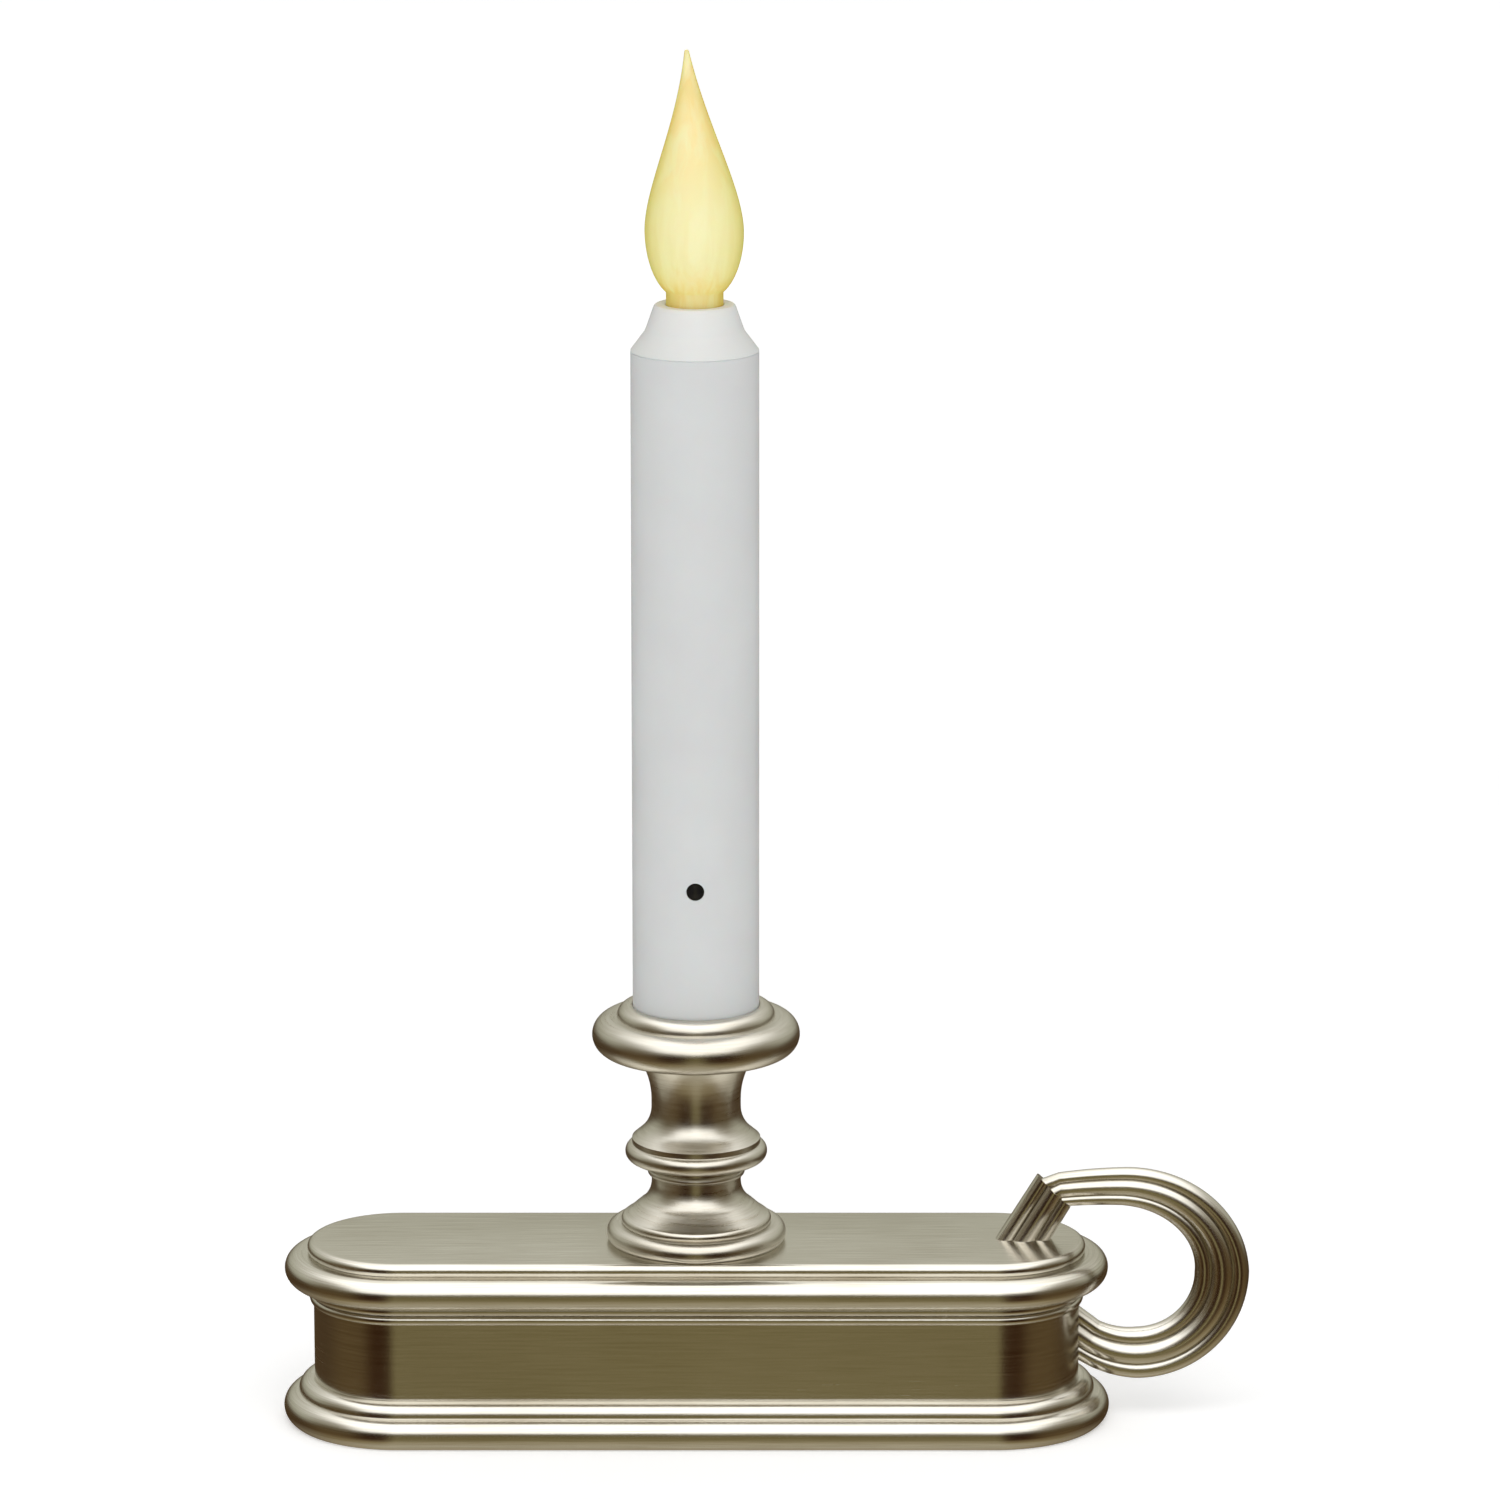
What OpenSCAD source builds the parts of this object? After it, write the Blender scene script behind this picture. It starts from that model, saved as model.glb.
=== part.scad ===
// Battery window candle: a round-ended metal base with a turned stem, a loop handle,
// a plastic taper tube and a twist-in flame bulb. Millimetres, +Z up, front towards -Y.
// The origin is on the table, on the axis of the candle.

/* [Base] */
// Overall length of the base across its bottom bead
base_l = 145.3; // [140:0.1:220]
// Overall depth of the base across its bottom bead
base_w = 41.3; // [41:0.1:60]
// Height of the base up to its flat top
base_h = 32.5; // [32.4:0.1:50]
// Thickness of the upright walls of the base shell
base_wall = 1.6; // [1.2:0.05:1.9]
// Thickness of the flat top of the base shell
roof_t = 1.8; // [1.4:0.1:1.9]
// How far the plain waist stands in from the bottom bead
waist_in = 5.45; // [4.5:0.05:5.6]
// Radius of the bottom bead
low_bead_r = 2.9; // [2.6:0.1:3.2]
// Radius of the top bead
top_bead_r = 2.7; // [2.4:0.1:3]
// How far the top bead stands in from the bottom bead
top_bead_in = 0.45; // [0:0.05:1.5]
// Height of the pocket under the base that the bottom plate sits in
pocket_h = 3; // [2.8:0.1:3.6]

/* [Battery compartment] */
// Diameter of one C cell
cell_d = 26.2; // [24:0.1:26.4]
// Length of one C cell with its button
cell_l = 50; // [40:0.5:50.5]
// Height of the cells' axis above the table
cell_z = 16.2; // [16.1:0.1:20]
// Length that the contact spring takes up when the cells are in
spring_l = 5; // [4:0.5:8]
// Thickness of the bottom plate and of the battery door
plate_t = 1.6; // [1.4:0.1:2]
// Diameter of the hinge pins
hinge_pin_d = 1.2; // [1:0.1:1.2]

/* [Stem and cup] */
// Radius of the stem at its plain necks
neck_r = 7.8; // [7.5:0.1:9]
// Height of the stem between the base and the cup
stem_h = 34; // [32:0.5:60]
// Radius of the bore for the wires up the stem
wire_bore_r = 3.5; // [3.2:0.1:4.5]
// How far the cup's drip ring reaches out past the tube
cup_reach = 7.1; // [6:0.1:9]
// Height of the cup
cup_h = 8.7; // [8.4:0.1:12]

/* [Candle] */
// Outer diameter of the candle tube
tube_d = 22; // [21:0.5:28]
// Wall of the candle tube
tube_wall = 1.3; // [1:0.1:1.6]
// Length of the candle tube from the floor of the cup
tube_l = 122; // [110:1:180]
// Height of the sloping shoulder on the tube
shoulder_h = 8; // [7.6:0.1:12]
// Diameter of the light sensor's hole
sensor_d = 3.1; // [2.5:0.1:4]
// Height of the light sensor above the floor of the cup
sensor_up = 29.5; // [28:0.5:32]

/* [Flame bulb] */
// Radius of the bulb's neck
bulb_neck_r = 4.9; // [4.4:0.1:5]
// Largest radius of the flame
flame_r = 8.45; // [7:0.05:10]
// Height of the flame above the neck
flame_h = 41.4; // [35:0.1:55]

/* [Handle] */
// How far the handle reaches out from the waist, to its centre line
handle_reach = 25.1; // [24:0.1:32]
// Height of the handle's lower root
handle_root_z = 15.2; // [14.5:0.1:16.5]
// How far the handle's centre line rises above the base
handle_rise = 9.5; // [9:0.1:14]
// Thickness of the handle at its outermost point
handle_t = 9.6; // [8:0.1:10.5]
// Depth of the handle, as a share of its thickness
handle_depth = 0.58; // [0.5:0.01:0.62]

/* [Hidden] */
$fn = 96;
cut = 0.5;            // overshoot of cutting tools
slip = 0.07;          // radial clearance of a turning fit
seat = 0.05;          // radial clearance of a push fit
gap = 0.3;            // clearance of parts that pass each other

// Base
end_r = base_w / 2;
spine = base_l / 2 - end_r;
waist_r = end_r - waist_in;
cavity_r = waist_r - base_wall;
roof_z = base_h - roof_t;
low_bead_z = low_bead_r - 0.5;
low_cx = end_r - low_bead_r;
foot_ovolo_r = 2.4;
top_bead_z = base_h - 4.9;
top_cx = end_r - top_bead_in - top_bead_r;
top_edge_r = 1.3;
fillet_r = 0.9;
foot_ring_t = 2.25;
pocket_r = low_cx + sqrt(pow(low_bead_r, 2) - pow(low_bead_z, 2)) - foot_ring_t;
boss_r = 2.8;
boss_turn = 48;
boss_d = cavity_r - boss_r + 0.3;
boss_x = spine + boss_d * cos(boss_turn);
boss_y = boss_d * sin(boss_turn);
rib_t = 1.6;
rib_x = [-38, -13, 13, 38];
wire_way = 8;

// Screws
screw_r = 1.2;
screw_hole_r = 1.4;
screw_head_r = 2.3;
screw_head_h = 1.4;
plate_screw_l = 10;
stem_screw_y = 10;
stem_screw_l = 6;
handle_screw_l = 7;

// Cells and their contacts
cell_r = cell_d / 2;
button_l = 1.5;
contact_t = 0.5;
bay_l = 2 * cell_l + spring_l;
cells_x1 = bay_l / 2 - 1;
cells_x0 = cells_x1 - 2 * cell_l;
spring_x0 = cells_x0 - spring_l;
contact_w = 16;
contact_z0 = cell_z - 11;
bulkhead_t = 1.2;
bulkhead_w = 20;
bulkhead_top = cell_z + 7.8;
tab_y = 5.5;
tab_w = 3;
tab_top = bulkhead_top + 3;

// Bottom plate, door and hinge
plate_z0 = pocket_h - plate_t;
plate_r = pocket_r - 0.15;
hatch_x0 = spring_x0 - contact_t + 0.1;
hatch_x1 = cells_x1 + contact_t - 0.1;
hatch_y = cell_r + 0.6;
hinge_y = hatch_y + 0.9;
knuckle_r = 1.2;
hinge_z = pocket_h - 0.1 - knuckle_r;
door_back = hinge_y - knuckle_r - gap;
hinge_at = [-36, 36];
door_knuckle_l = 8;
plate_knuckle_l = 5;
knuckle_gap = 0.2;
pin_r = hinge_pin_d / 2;
pin_l = door_knuckle_l + 2 * knuckle_gap + 2 * plate_knuckle_l;
counterbore_h = 0.8;
head_seat_z = plate_z0 + counterbore_h;

// Slide switch
switch_l = 9.6;
switch_w = 6;
switch_h = 4.5;
switch_x = spring_x0 - contact_t - bulkhead_t - 0.1 - switch_l / 2;
slider_travel = 3;
slider_l = 5;
slider_w = 3.2;
slider_h = 1.8;
slider_lift = 0.15;
knob_l = 2.5;
knob_w = 2.4;
knob_z0 = 0.9;
switch_pin_h = 3;
switch_pin_step = 2.5;

// Stem and cup
stem_top = base_h + stem_h;
spigot_r = 6;
spigot_l = 5.5;
cup_floor_t = 2;
cup_floor = stem_top + cup_floor_t;
cup_top = stem_top + cup_h;
tube_r = tube_d / 2;
collar_r = tube_r + 2.8;
collar_round = 2.2;
drip_r = 3.3;
drip_cx = tube_r + cup_reach - drip_r;
drip_z = stem_top + drip_r;

// Candle tube and cap
tube_in = tube_r - tube_wall;
tube_top = cup_floor + tube_l;
cap_top = tube_top + shoulder_h;
cap_plug_l = 8;
cap_bore_r = tube_in - 2.5;
cap_ledge_r = cap_bore_r - 0.6;
cap_plate_h = 6.5;
cap_plate_z = cap_top - cap_plate_h;
led_seat_z = cap_plate_z - 4.4;
lug_r = bulb_neck_r + 0.8;
lug_w = 2.2;
lug_h = 1.5;
lug_z = cap_plate_z - 0.2 - lug_h;
bulb_z0 = lug_z - 0.3;
led_r = 2.5;
led_bore_r = led_r + 0.35;
led_z = bulb_z0 - 2;
led_body_l = 6.6;
led_lead_x = 1.27;
led_lead_r = 0.25;
led_lead_z = led_z - 6;
holder_h = 3.6;
holder_post_r = 3.2;
flame_z0 = cap_top + 2.1;
sensor_z = cup_floor + sensor_up;

// Circuit board
board_w = 13.6;
board_t = 1;
board_y = -4;
board_back = board_y + board_t;
board_z0 = sensor_z - 16;
board_l = 46;
board_top = board_z0 + board_l;
rail_in = 1;

// Wires
wire_r = 0.6;
wire_z = (roof_z + cell_z + cell_r) / 2;

// Handle: a run of rings, each [x, z, direction across, thickness, depth]
waist_end = spine + waist_r;
seat_x = waist_end - 0.3;
loop_x = waist_end + 10.2;
loop_low = handle_root_z - 3.7;
loop_r = handle_reach - 10.2;
loop_mid = loop_low + loop_r;
loop_top = base_h + handle_rise;
top_x = waist_end + 7.1;
mitre_x = waist_end - 4.6;
mitre_z = loop_top - 0.75;
leg_x = waist_end - 9.9;
leg_slope = 57;
leg_screw_x = leg_x + 1.8;
root_screw_x = spine + sqrt(pow(cavity_r, 2) - pow(screw_head_r, 2));
mid_reed = 0.25;
side_reed = 0.18;
reed_step = 0.5 - side_reed;

// ---------------------------------------------------------------- shared shapes

// Flat plate with round ends, lying along X
module oblong(r, h) {
    linear_extrude(height = h) {
        square([2 * spine, 2 * r], center = true);
        for (side = [-1, 1]) translate([side * spine, 0]) circle(r = r);
    }
}

// Sweeps a half outline, X outwards and Y up, round the ends and along the sides
module along_base() {
    for (side = [-1, 1])
        translate([side * spine, 0, 0])
            rotate([0, 0, -90 * side])
                rotate_extrude(angle = 180) children();
    rotate([90, 0, 90])
        translate([0, 0, -spine])
            linear_extrude(height = 2 * spine) {
                children();
                mirror([1, 0]) children();
            }
}

module box(x0, x1, y0, y1, z0, z1) {
    translate([x0, y0, z0]) cube([x1 - x0, y1 - y0, z1 - z0]);
}

// Pan head screw with a cross recess, its head seat at the origin and its shank up
module screw(shank_l) {
    difference() {
        union() {
            cylinder(r = screw_r, h = shank_l);
            translate([0, 0, -screw_head_h]) cylinder(r = screw_head_r, h = screw_head_h);
        }
        for (turn = [0, 90])
            rotate([0, 0, turn])
                translate([0, 0, -screw_head_h])
                    cube([2.6, 0.6, 1.6], center = true);
    }
}

// Point on a cubic curve through a and d, pulled by b and c
function bezier(a, b, c, d, t) =
    pow(1 - t, 3) * a + 3 * t * pow(1 - t, 2) * b + 3 * t * t * (1 - t) * c + pow(t, 3) * d;

// Faces of a tube of rings, closed by flat ends
function tube_faces(rings, sides) = concat(
    [for (i = [0 : rings - 2], j = [0 : sides - 1])
        [i * sides + j, i * sides + (j + 1) % sides, (i + 1) * sides + (j + 1) % sides]],
    [for (i = [0 : rings - 2], j = [0 : sides - 1])
        [i * sides + j, (i + 1) * sides + (j + 1) % sides, (i + 1) * sides + j]],
    [[for (j = [sides - 1 : -1 : 0]) j]],
    [[for (j = [0 : sides - 1]) (rings - 1) * sides + j]]
);

function unit(v) = v / norm(v);

// Direction of a route at one of its points
function heading(p, i) =
    let (a = max(i - 1, 0), b = min(i + 1, len(p) - 1)) unit(p[b] - p[a]);

// Side direction square to a heading, kept near the one before it
function side_of(h, hint) = unit(hint - (hint * h) * h);

function sides_along(p, hint, i = 0) =
    i == len(p) ? [] :
    let (s = side_of(heading(p, i), hint)) concat([s], sides_along(p, s, i + 1));

// Smooth points through a hand-drawn route, a few to each stretch
function smooth(p, steps) = concat(
    [for (i = [0 : len(p) - 2], k = [0 : steps - 1])
        let (
            a = p[max(i - 1, 0)], b = p[i], c = p[i + 1], d = p[min(i + 2, len(p) - 1)],
            t = k / steps,
            m0 = (c - a) / 2 * min(1, norm(c - b) / max(norm(b - a), 0.01)),
            m1 = (d - b) / 2 * min(1, norm(c - b) / max(norm(d - c), 0.01))
        )
        (2 * pow(t, 3) - 3 * t * t + 1) * b + (pow(t, 3) - 2 * t * t + t) * m0
            + (3 * t * t - 2 * pow(t, 3)) * c + (pow(t, 3) - t * t) * m1],
    [p[len(p) - 1]]
);

// Round wire along a list of points, starting square to the given side direction
module wire(p, r, hint = [1, 0.2, 0.1], sides = 8) {
    s = sides_along(p, hint);
    points = [for (i = [0 : len(p) - 1], j = [0 : sides - 1])
        let (u = s[i], v = cross(heading(p, i), s[i]), a = 360 * j / sides)
        p[i] + r * (cos(a) * u + sin(a) * v)];
    faces = tube_faces(len(p), sides);
    polyhedron(points = points, faces = [for (f = faces) [for (k = [len(f) - 1 : -1 : 0]) f[k]]]);
}

// ---------------------------------------------------------------- base

// Half outline of the base: beads, ovolos and waist
module base_outline() {
    square([waist_r, base_h - top_edge_r]);
    square([waist_r - fillet_r / 3, base_h]);
    // bottom bead, cut flat by the table
    intersection() {
        translate([low_cx, low_bead_z]) circle(r = low_bead_r);
        square([end_r + cut, base_h]);
    }
    square([low_cx, low_bead_z + low_bead_r]);
    // quarter round on the bottom bead
    intersection() {
        translate([waist_r + 0.4, low_bead_z + low_bead_r]) circle(r = foot_ovolo_r);
        square([end_r, base_h]);
    }
    // two fillets below the top bead
    translate([waist_r - 0.2, base_h - 10.3]) circle(r = fillet_r);
    translate([waist_r + 0.4, base_h - 8.4]) circle(r = fillet_r);
    translate([0, base_h - 9.3]) square([waist_r + 0.4, 4.4]);
    // top bead
    translate([top_cx, top_bead_z]) circle(r = top_bead_r);
    translate([0, top_bead_z - top_bead_r]) square([top_cx, 2 * top_bead_r]);
    // rounded edge of the flat top
    translate([waist_r - 0.3, base_h - top_edge_r]) circle(r = top_edge_r);
}

module base_cavity() {
    translate([0, 0, -cut]) oblong(pocket_r, pocket_h + cut);
    translate([0, 0, pocket_h - cut]) oblong(cavity_r, roof_z - pocket_h + cut);
}

// Bosses for the four plate screws, in the corners of the round ends
module corner_bosses() {
    for (sx = [-1, 1], sy = [-1, 1])
        translate([sx * boss_x, sy * boss_y, pocket_h])
            cylinder(r = boss_r, h = roof_z - pocket_h + cut);
}

// Webs under the roof that keep the cells down
module cell_ribs() {
    difference() {
        for (x = rib_x)
            box(x - rib_t / 2, x + rib_t / 2, -cavity_r - cut, cavity_r + cut, cell_z, roof_z + cut);
        translate([-spine, 0, cell_z])
            rotate([0, 90, 0]) cylinder(r = cell_r + 0.3, h = 2 * spine);
        box(-spine, spine, -wire_way, wire_way, cell_z, roof_z);
    }
}

module base_shell() {
    color("#9a917a")
    difference() {
        union() {
            difference() {
                along_base() base_outline();
                base_cavity();
            }
            corner_bosses();
            cell_ribs();
        }
        // flat for the root of the handle
        box(seat_x, end_r + spine, -cavity_r / 2, cavity_r / 2, base_h / 4, base_h * 0.64);
        // screw holes and the wire hole
        for (sx = [-1, 1], sy = [-1, 1])
            translate([sx * boss_x, sy * boss_y, pocket_h - cut])
                cylinder(r = screw_r, h = plate_screw_l + cut);
        for (sy = [-1, 1])
            translate([0, sy * stem_screw_y, roof_z - cut]) cylinder(r = screw_hole_r, h = roof_t + 2 * cut);
        translate([leg_screw_x, 0, roof_z - cut]) cylinder(r = screw_hole_r, h = roof_t + 2 * cut);
        translate([spine + cavity_r - cut, 0, handle_root_z])
            rotate([0, 90, 0]) cylinder(r = screw_hole_r, h = base_wall + 2 * cut);
        translate([0, 0, roof_z - cut]) cylinder(r = wire_bore_r, h = roof_t + 2 * cut);
    }
}

// ---------------------------------------------------------------- bottom plate and door

module knuckle(x, l, bore_r) {
    translate([x - l / 2, hinge_y, hinge_z])
        rotate([0, 90, 0])
            difference() {
                cylinder(r = knuckle_r, h = l);
                translate([0, 0, -cut]) cylinder(r = bore_r, h = l + 2 * cut);
            }
}

module bottom_plate() {
    wide = door_knuckle_l + 2 * knuckle_gap;
    color("#6b6455") {
        difference() {
            translate([0, 0, plate_z0]) oblong(plate_r, plate_t);
            // opening for the cells, and room for the hinge
            box(hatch_x0, hatch_x1, -hatch_y, hatch_y, -cut, pocket_h + cut);
            for (x = hinge_at)
                box(x - pin_l / 2, x + pin_l / 2,
                    hatch_y - cut, hinge_y + knuckle_r + 0.2, -cut, pocket_h + cut);
            // screws, their heads sunk
            for (sx = [-1, 1], sy = [-1, 1])
                translate([sx * boss_x, sy * boss_y, 0]) {
                    cylinder(r = screw_hole_r, h = pocket_h + cut);
                    cylinder(r = screw_head_r + 0.2, h = head_seat_z);
                }
            // slot for the switch knob
            box(switch_x - (knob_l + slider_travel) / 2 - 0.2, switch_x + (knob_l + slider_travel) / 2 + 0.2,
                -knob_w / 2 - 0.25, knob_w / 2 + 0.25, -cut, pocket_h + cut);
        }
        // hinge knuckles, each joined to the rim of the plate
        for (x = hinge_at, side = [-1, 1]) {
            knuckle_x = x + side * (wide + plate_knuckle_l) / 2;
            knuckle(knuckle_x, plate_knuckle_l, pin_r);
            difference() {
                box(knuckle_x - plate_knuckle_l / 2, knuckle_x + plate_knuckle_l / 2,
                    hinge_y, hinge_y + knuckle_r + 0.4, plate_z0, hinge_z + knuckle_r);
                translate([knuckle_x - plate_knuckle_l, hinge_y, hinge_z])
                    rotate([0, 90, 0]) cylinder(r = (pin_r + knuckle_r) / 2, h = 2 * plate_knuckle_l);
            }
        }
        // bulkheads that carry the two contacts
        box(cells_x1 + contact_t, cells_x1 + contact_t + bulkhead_t,
            -bulkhead_w / 2, bulkhead_w / 2, pocket_h - cut, bulkhead_top);
        box(spring_x0 - contact_t - bulkhead_t, spring_x0 - contact_t,
            -bulkhead_w / 2, bulkhead_w / 2, pocket_h - cut, bulkhead_top);
    }
}

module battery_door() {
    color("#77705f")
    difference() {
        union() {
            box(hatch_x0 + gap, hatch_x1 - gap, -hatch_y + gap, door_back, plate_z0, pocket_h);
            // stiffening ribs along the inside, clear of the cells
            for (y = [-9, 8])
                box(hatch_x0 + 6, hatch_x1 - 6, y - 0.6, y + 0.6, pocket_h - cut, pocket_h + 1.4);
            for (x = hinge_at) {
                knuckle(x, door_knuckle_l, pin_r + 0.04);
                difference() {
                    box(x - door_knuckle_l / 2, x + door_knuckle_l / 2,
                        door_back - cut, hinge_y, plate_z0, hinge_z + knuckle_r);
                    translate([x - door_knuckle_l, hinge_y, hinge_z])
                        rotate([0, 90, 0]) cylinder(r = (pin_r + knuckle_r) / 2, h = 2 * door_knuckle_l);
                }
            }
        }
        // thumb scoop and grip lines on the outside
        translate([0, -hatch_y, plate_z0]) cylinder(r = 7, h = 1.4, center = true);
        for (y = [-4, -2, 0])
            box(-8, 8, y - 0.3, y + 0.3, plate_z0 - cut, plate_z0 + 0.4);
    }
}

module hinge_pins() {
    color("silver")
    for (x = hinge_at)
        translate([x - pin_l / 2, hinge_y, hinge_z]) rotate([0, 90, 0]) cylinder(r = pin_r, h = pin_l);
}

module plate_screws() {
    color("silver")
    for (sx = [-1, 1], sy = [-1, 1])
        translate([sx * boss_x, sy * boss_y, head_seat_z]) screw(plate_screw_l);
}

// ---------------------------------------------------------------- cells and contacts

// One C cell along +X with its button end last
module cell(x0) {
    can_l = cell_l - button_l;
    translate([x0, 0, cell_z])
        rotate([0, 90, 0])
            rotate_extrude() {
                square([cell_r - 0.6, can_l]);
                translate([0, 0.6]) square([cell_r, can_l - 1.2]);
                translate([cell_r - 0.6, 0.6]) circle(r = 0.6);
                translate([cell_r - 0.6, can_l - 0.6]) circle(r = 0.6);
                square([3.6, cell_l]);
            }
}

module battery_left() {
    color("#8c6a2f") cell(cells_x0);
}

module battery_right() {
    color("#8c6a2f") cell(cells_x0 + cell_l);
}

module positive_contact() {
    color("#c8c8c0") {
        box(cells_x1, cells_x1 + contact_t, -contact_w / 2, contact_w / 2, contact_z0, bulkhead_top);
        box(cells_x1, cells_x1 + contact_t,
            -tab_y - tab_w / 2, -tab_y + tab_w / 2, bulkhead_top - cut, tab_top);
    }
}

module negative_contact() {
    color("#c8c8c0") {
        box(spring_x0 - contact_t, spring_x0, -contact_w / 2, contact_w / 2, contact_z0, bulkhead_top);
        box(spring_x0 - contact_t, spring_x0,
            tab_y - tab_w / 2, tab_y + tab_w / 2, bulkhead_top - cut, tab_top);
    }
}

// Cone-shaped coil between its plate and the flat end of the cell
module contact_spring() {
    turns = 3.5;
    steps = 42;
    spring_wire_r = 0.4;
    coil = [for (i = [0 : steps])
        let (t = i / steps, r = 6.4 - 2.9 * t, a = 360 * turns * t)
        [spring_x0 + spring_wire_r + (spring_l - 2 * spring_wire_r) * t, r * cos(a), cell_z + r * sin(a)]];
    color("silver") wire(coil, spring_wire_r, [1, 0, 0]);
}

// ---------------------------------------------------------------- switch

module switch_housing() {
    slot_l = slider_l + slider_travel + 0.4;
    color("#a9a9a4")
    difference() {
        box(switch_x - switch_l / 2, switch_x + switch_l / 2, -switch_w / 2, switch_w / 2,
            pocket_h, pocket_h + switch_h);
        box(switch_x - slot_l / 2, switch_x + slot_l / 2, -slider_w / 2 - 0.2, slider_w / 2 + 0.2,
            pocket_h - cut, pocket_h + slider_lift + slider_h + 0.25);
    }
}

// Slider at the left end of its travel, with its knob through the bottom plate
module switch_slider() {
    rest_x = switch_x - slider_travel / 2;
    slider_z = pocket_h + slider_lift;
    color("#1c1c1c") {
        box(rest_x - slider_l / 2, rest_x + slider_l / 2,
            -slider_w / 2, slider_w / 2, slider_z, slider_z + slider_h);
        box(rest_x - knob_l / 2, rest_x + knob_l / 2, -knob_w / 2, knob_w / 2, knob_z0, slider_z + cut);
    }
}

module switch_pins() {
    color("#c9b06a")
    for (k = [-1, 0, 1])
        box(switch_x + k * switch_pin_step - 0.4, switch_x + k * switch_pin_step + 0.4, -0.25, 0.25,
            pocket_h + switch_h, pocket_h + switch_h + switch_pin_h);
}

// ---------------------------------------------------------------- stem and cup

// Half outline of the stem from the base up
module stem_outline() {
    mid_z = 16.15;
    low_neck_z = 9.9;
    cove_r = 4.7;
    flare_r = 5.2;
    flare_z = 23.5;
    top_flare_z = stem_h - 8.5;
    top_flare_r = 14;
    difference() {
        union() {
            // foot: a large bead under a small one
            intersection() {
                translate([13.8, 1.4]) circle(r = 1.9);
                square([20, stem_h]);
            }
            square([13.8, 3.3]);
            translate([12.2, 3.8]) circle(r = 0.9);
            square([12.2, 4.7]);
            square([neck_r + cove_r, low_neck_z]);
            square([neck_r, stem_h]);
            // middle bead, with a thin fillet below it
            translate([neck_r, mid_z - 3.6]) circle(r = 0.7);
            translate([10.8, mid_z]) circle(r = 1.6);
            translate([0, mid_z - 1.6]) square([10.8, 3.2]);
            translate([0, mid_z]) square([11.2, flare_z - mid_z]);
            translate([0, top_flare_z]) square([neck_r + 3, 8.5]);
        }
        translate([neck_r + cove_r, low_neck_z]) circle(r = cove_r);
        translate([neck_r + flare_r, flare_z]) circle(r = flare_r);
        translate([neck_r + top_flare_r, top_flare_z]) circle(r = top_flare_r);
    }
}

module stem() {
    color("#a39a84")
    difference() {
        translate([0, 0, base_h]) rotate_extrude() stem_outline();
        translate([0, 0, base_h - cut]) cylinder(r = wire_bore_r, h = stem_h + 2 * cut);
        translate([0, 0, stem_top - spigot_l - 0.2]) cylinder(r = spigot_r + seat, h = spigot_l + 0.2 + cut);
        for (sy = [-1, 1])
            translate([0, sy * stem_screw_y, base_h - cut])
                cylinder(r = screw_r, h = stem_screw_l - roof_t + cut + 0.2);
    }
}

module stem_screws() {
    color("silver")
    for (sy = [-1, 1])
        translate([0, sy * stem_screw_y, roof_z]) screw(stem_screw_l);
}

// Half outline of the cup: drip ring below, collar round the tube above
module cup_outline() {
    difference() {
        union() {
            translate([0, stem_top]) square([drip_cx, 2 * drip_r]);
            translate([drip_cx, drip_z]) circle(r = drip_r);
            translate([0, drip_z]) square([collar_r, cup_top - collar_round - drip_z]);
            translate([collar_r - collar_round, cup_top - collar_round]) circle(r = collar_round);
            translate([0, drip_z]) square([collar_r - collar_round, cup_top - drip_z]);
            translate([0, stem_top - spigot_l]) square([spigot_r, spigot_l + cut]);
        }
        translate([0, cup_floor]) square([tube_r + seat, cup_h]);
        translate([0, stem_top - spigot_l - cut]) square([wire_bore_r, spigot_l + cup_h]);
    }
}

module drip_cup() {
    color("#a79f8a") rotate_extrude() cup_outline();
}

// ---------------------------------------------------------------- candle

// Grooved rails inside the tube that hold the circuit board by its edges
module board_rails() {
    rail_y0 = board_y - 0.9;
    rail_y1 = board_back + 0.9;
    rail_y = (rail_y0 + rail_y1) / 2;
    edge = board_w / 2;
    intersection() {
        for (side = [-1, 1])
            difference() {
                translate([side * (edge - rail_in + tube_r) / 2, rail_y, board_z0 + board_l / 2 - 1])
                    cube([tube_r - edge + rail_in, rail_y1 - rail_y0, board_l + 2], center = true);
                translate([0, (board_y + board_back) / 2, board_z0 + board_l / 2 + cut])
                    cube([board_w + 0.1, board_t + 0.1, board_l + 2 * cut], center = true);
            }
        translate([0, 0, board_z0 - 2]) cylinder(r = tube_in + 0.4, h = board_l + 2);
    }
}

module candle_tube() {
    color("#e6e6e2") {
        difference() {
            translate([0, 0, cup_floor]) cylinder(r = tube_r, h = tube_l);
            translate([0, 0, cup_floor - cut]) cylinder(r = tube_in, h = tube_l + 2 * cut);
            translate([0, 0, sensor_z]) rotate([90, 0, 0]) cylinder(r = sensor_d / 2, h = tube_d);
        }
        board_rails();
    }
}

// Half outline of the shoulder, two slopes up to a flat rim
module shoulder_outline() {
    rim_r = tube_r - 4.1;
    polygon([
        [0, tube_top],
        [tube_r, tube_top],
        [tube_r - 2.6, tube_top + shoulder_h * 0.45],
        [rim_r + 0.25, tube_top + shoulder_h * 0.92],
        [rim_r, cap_top],
        [0, cap_top]
    ]);
}

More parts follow.
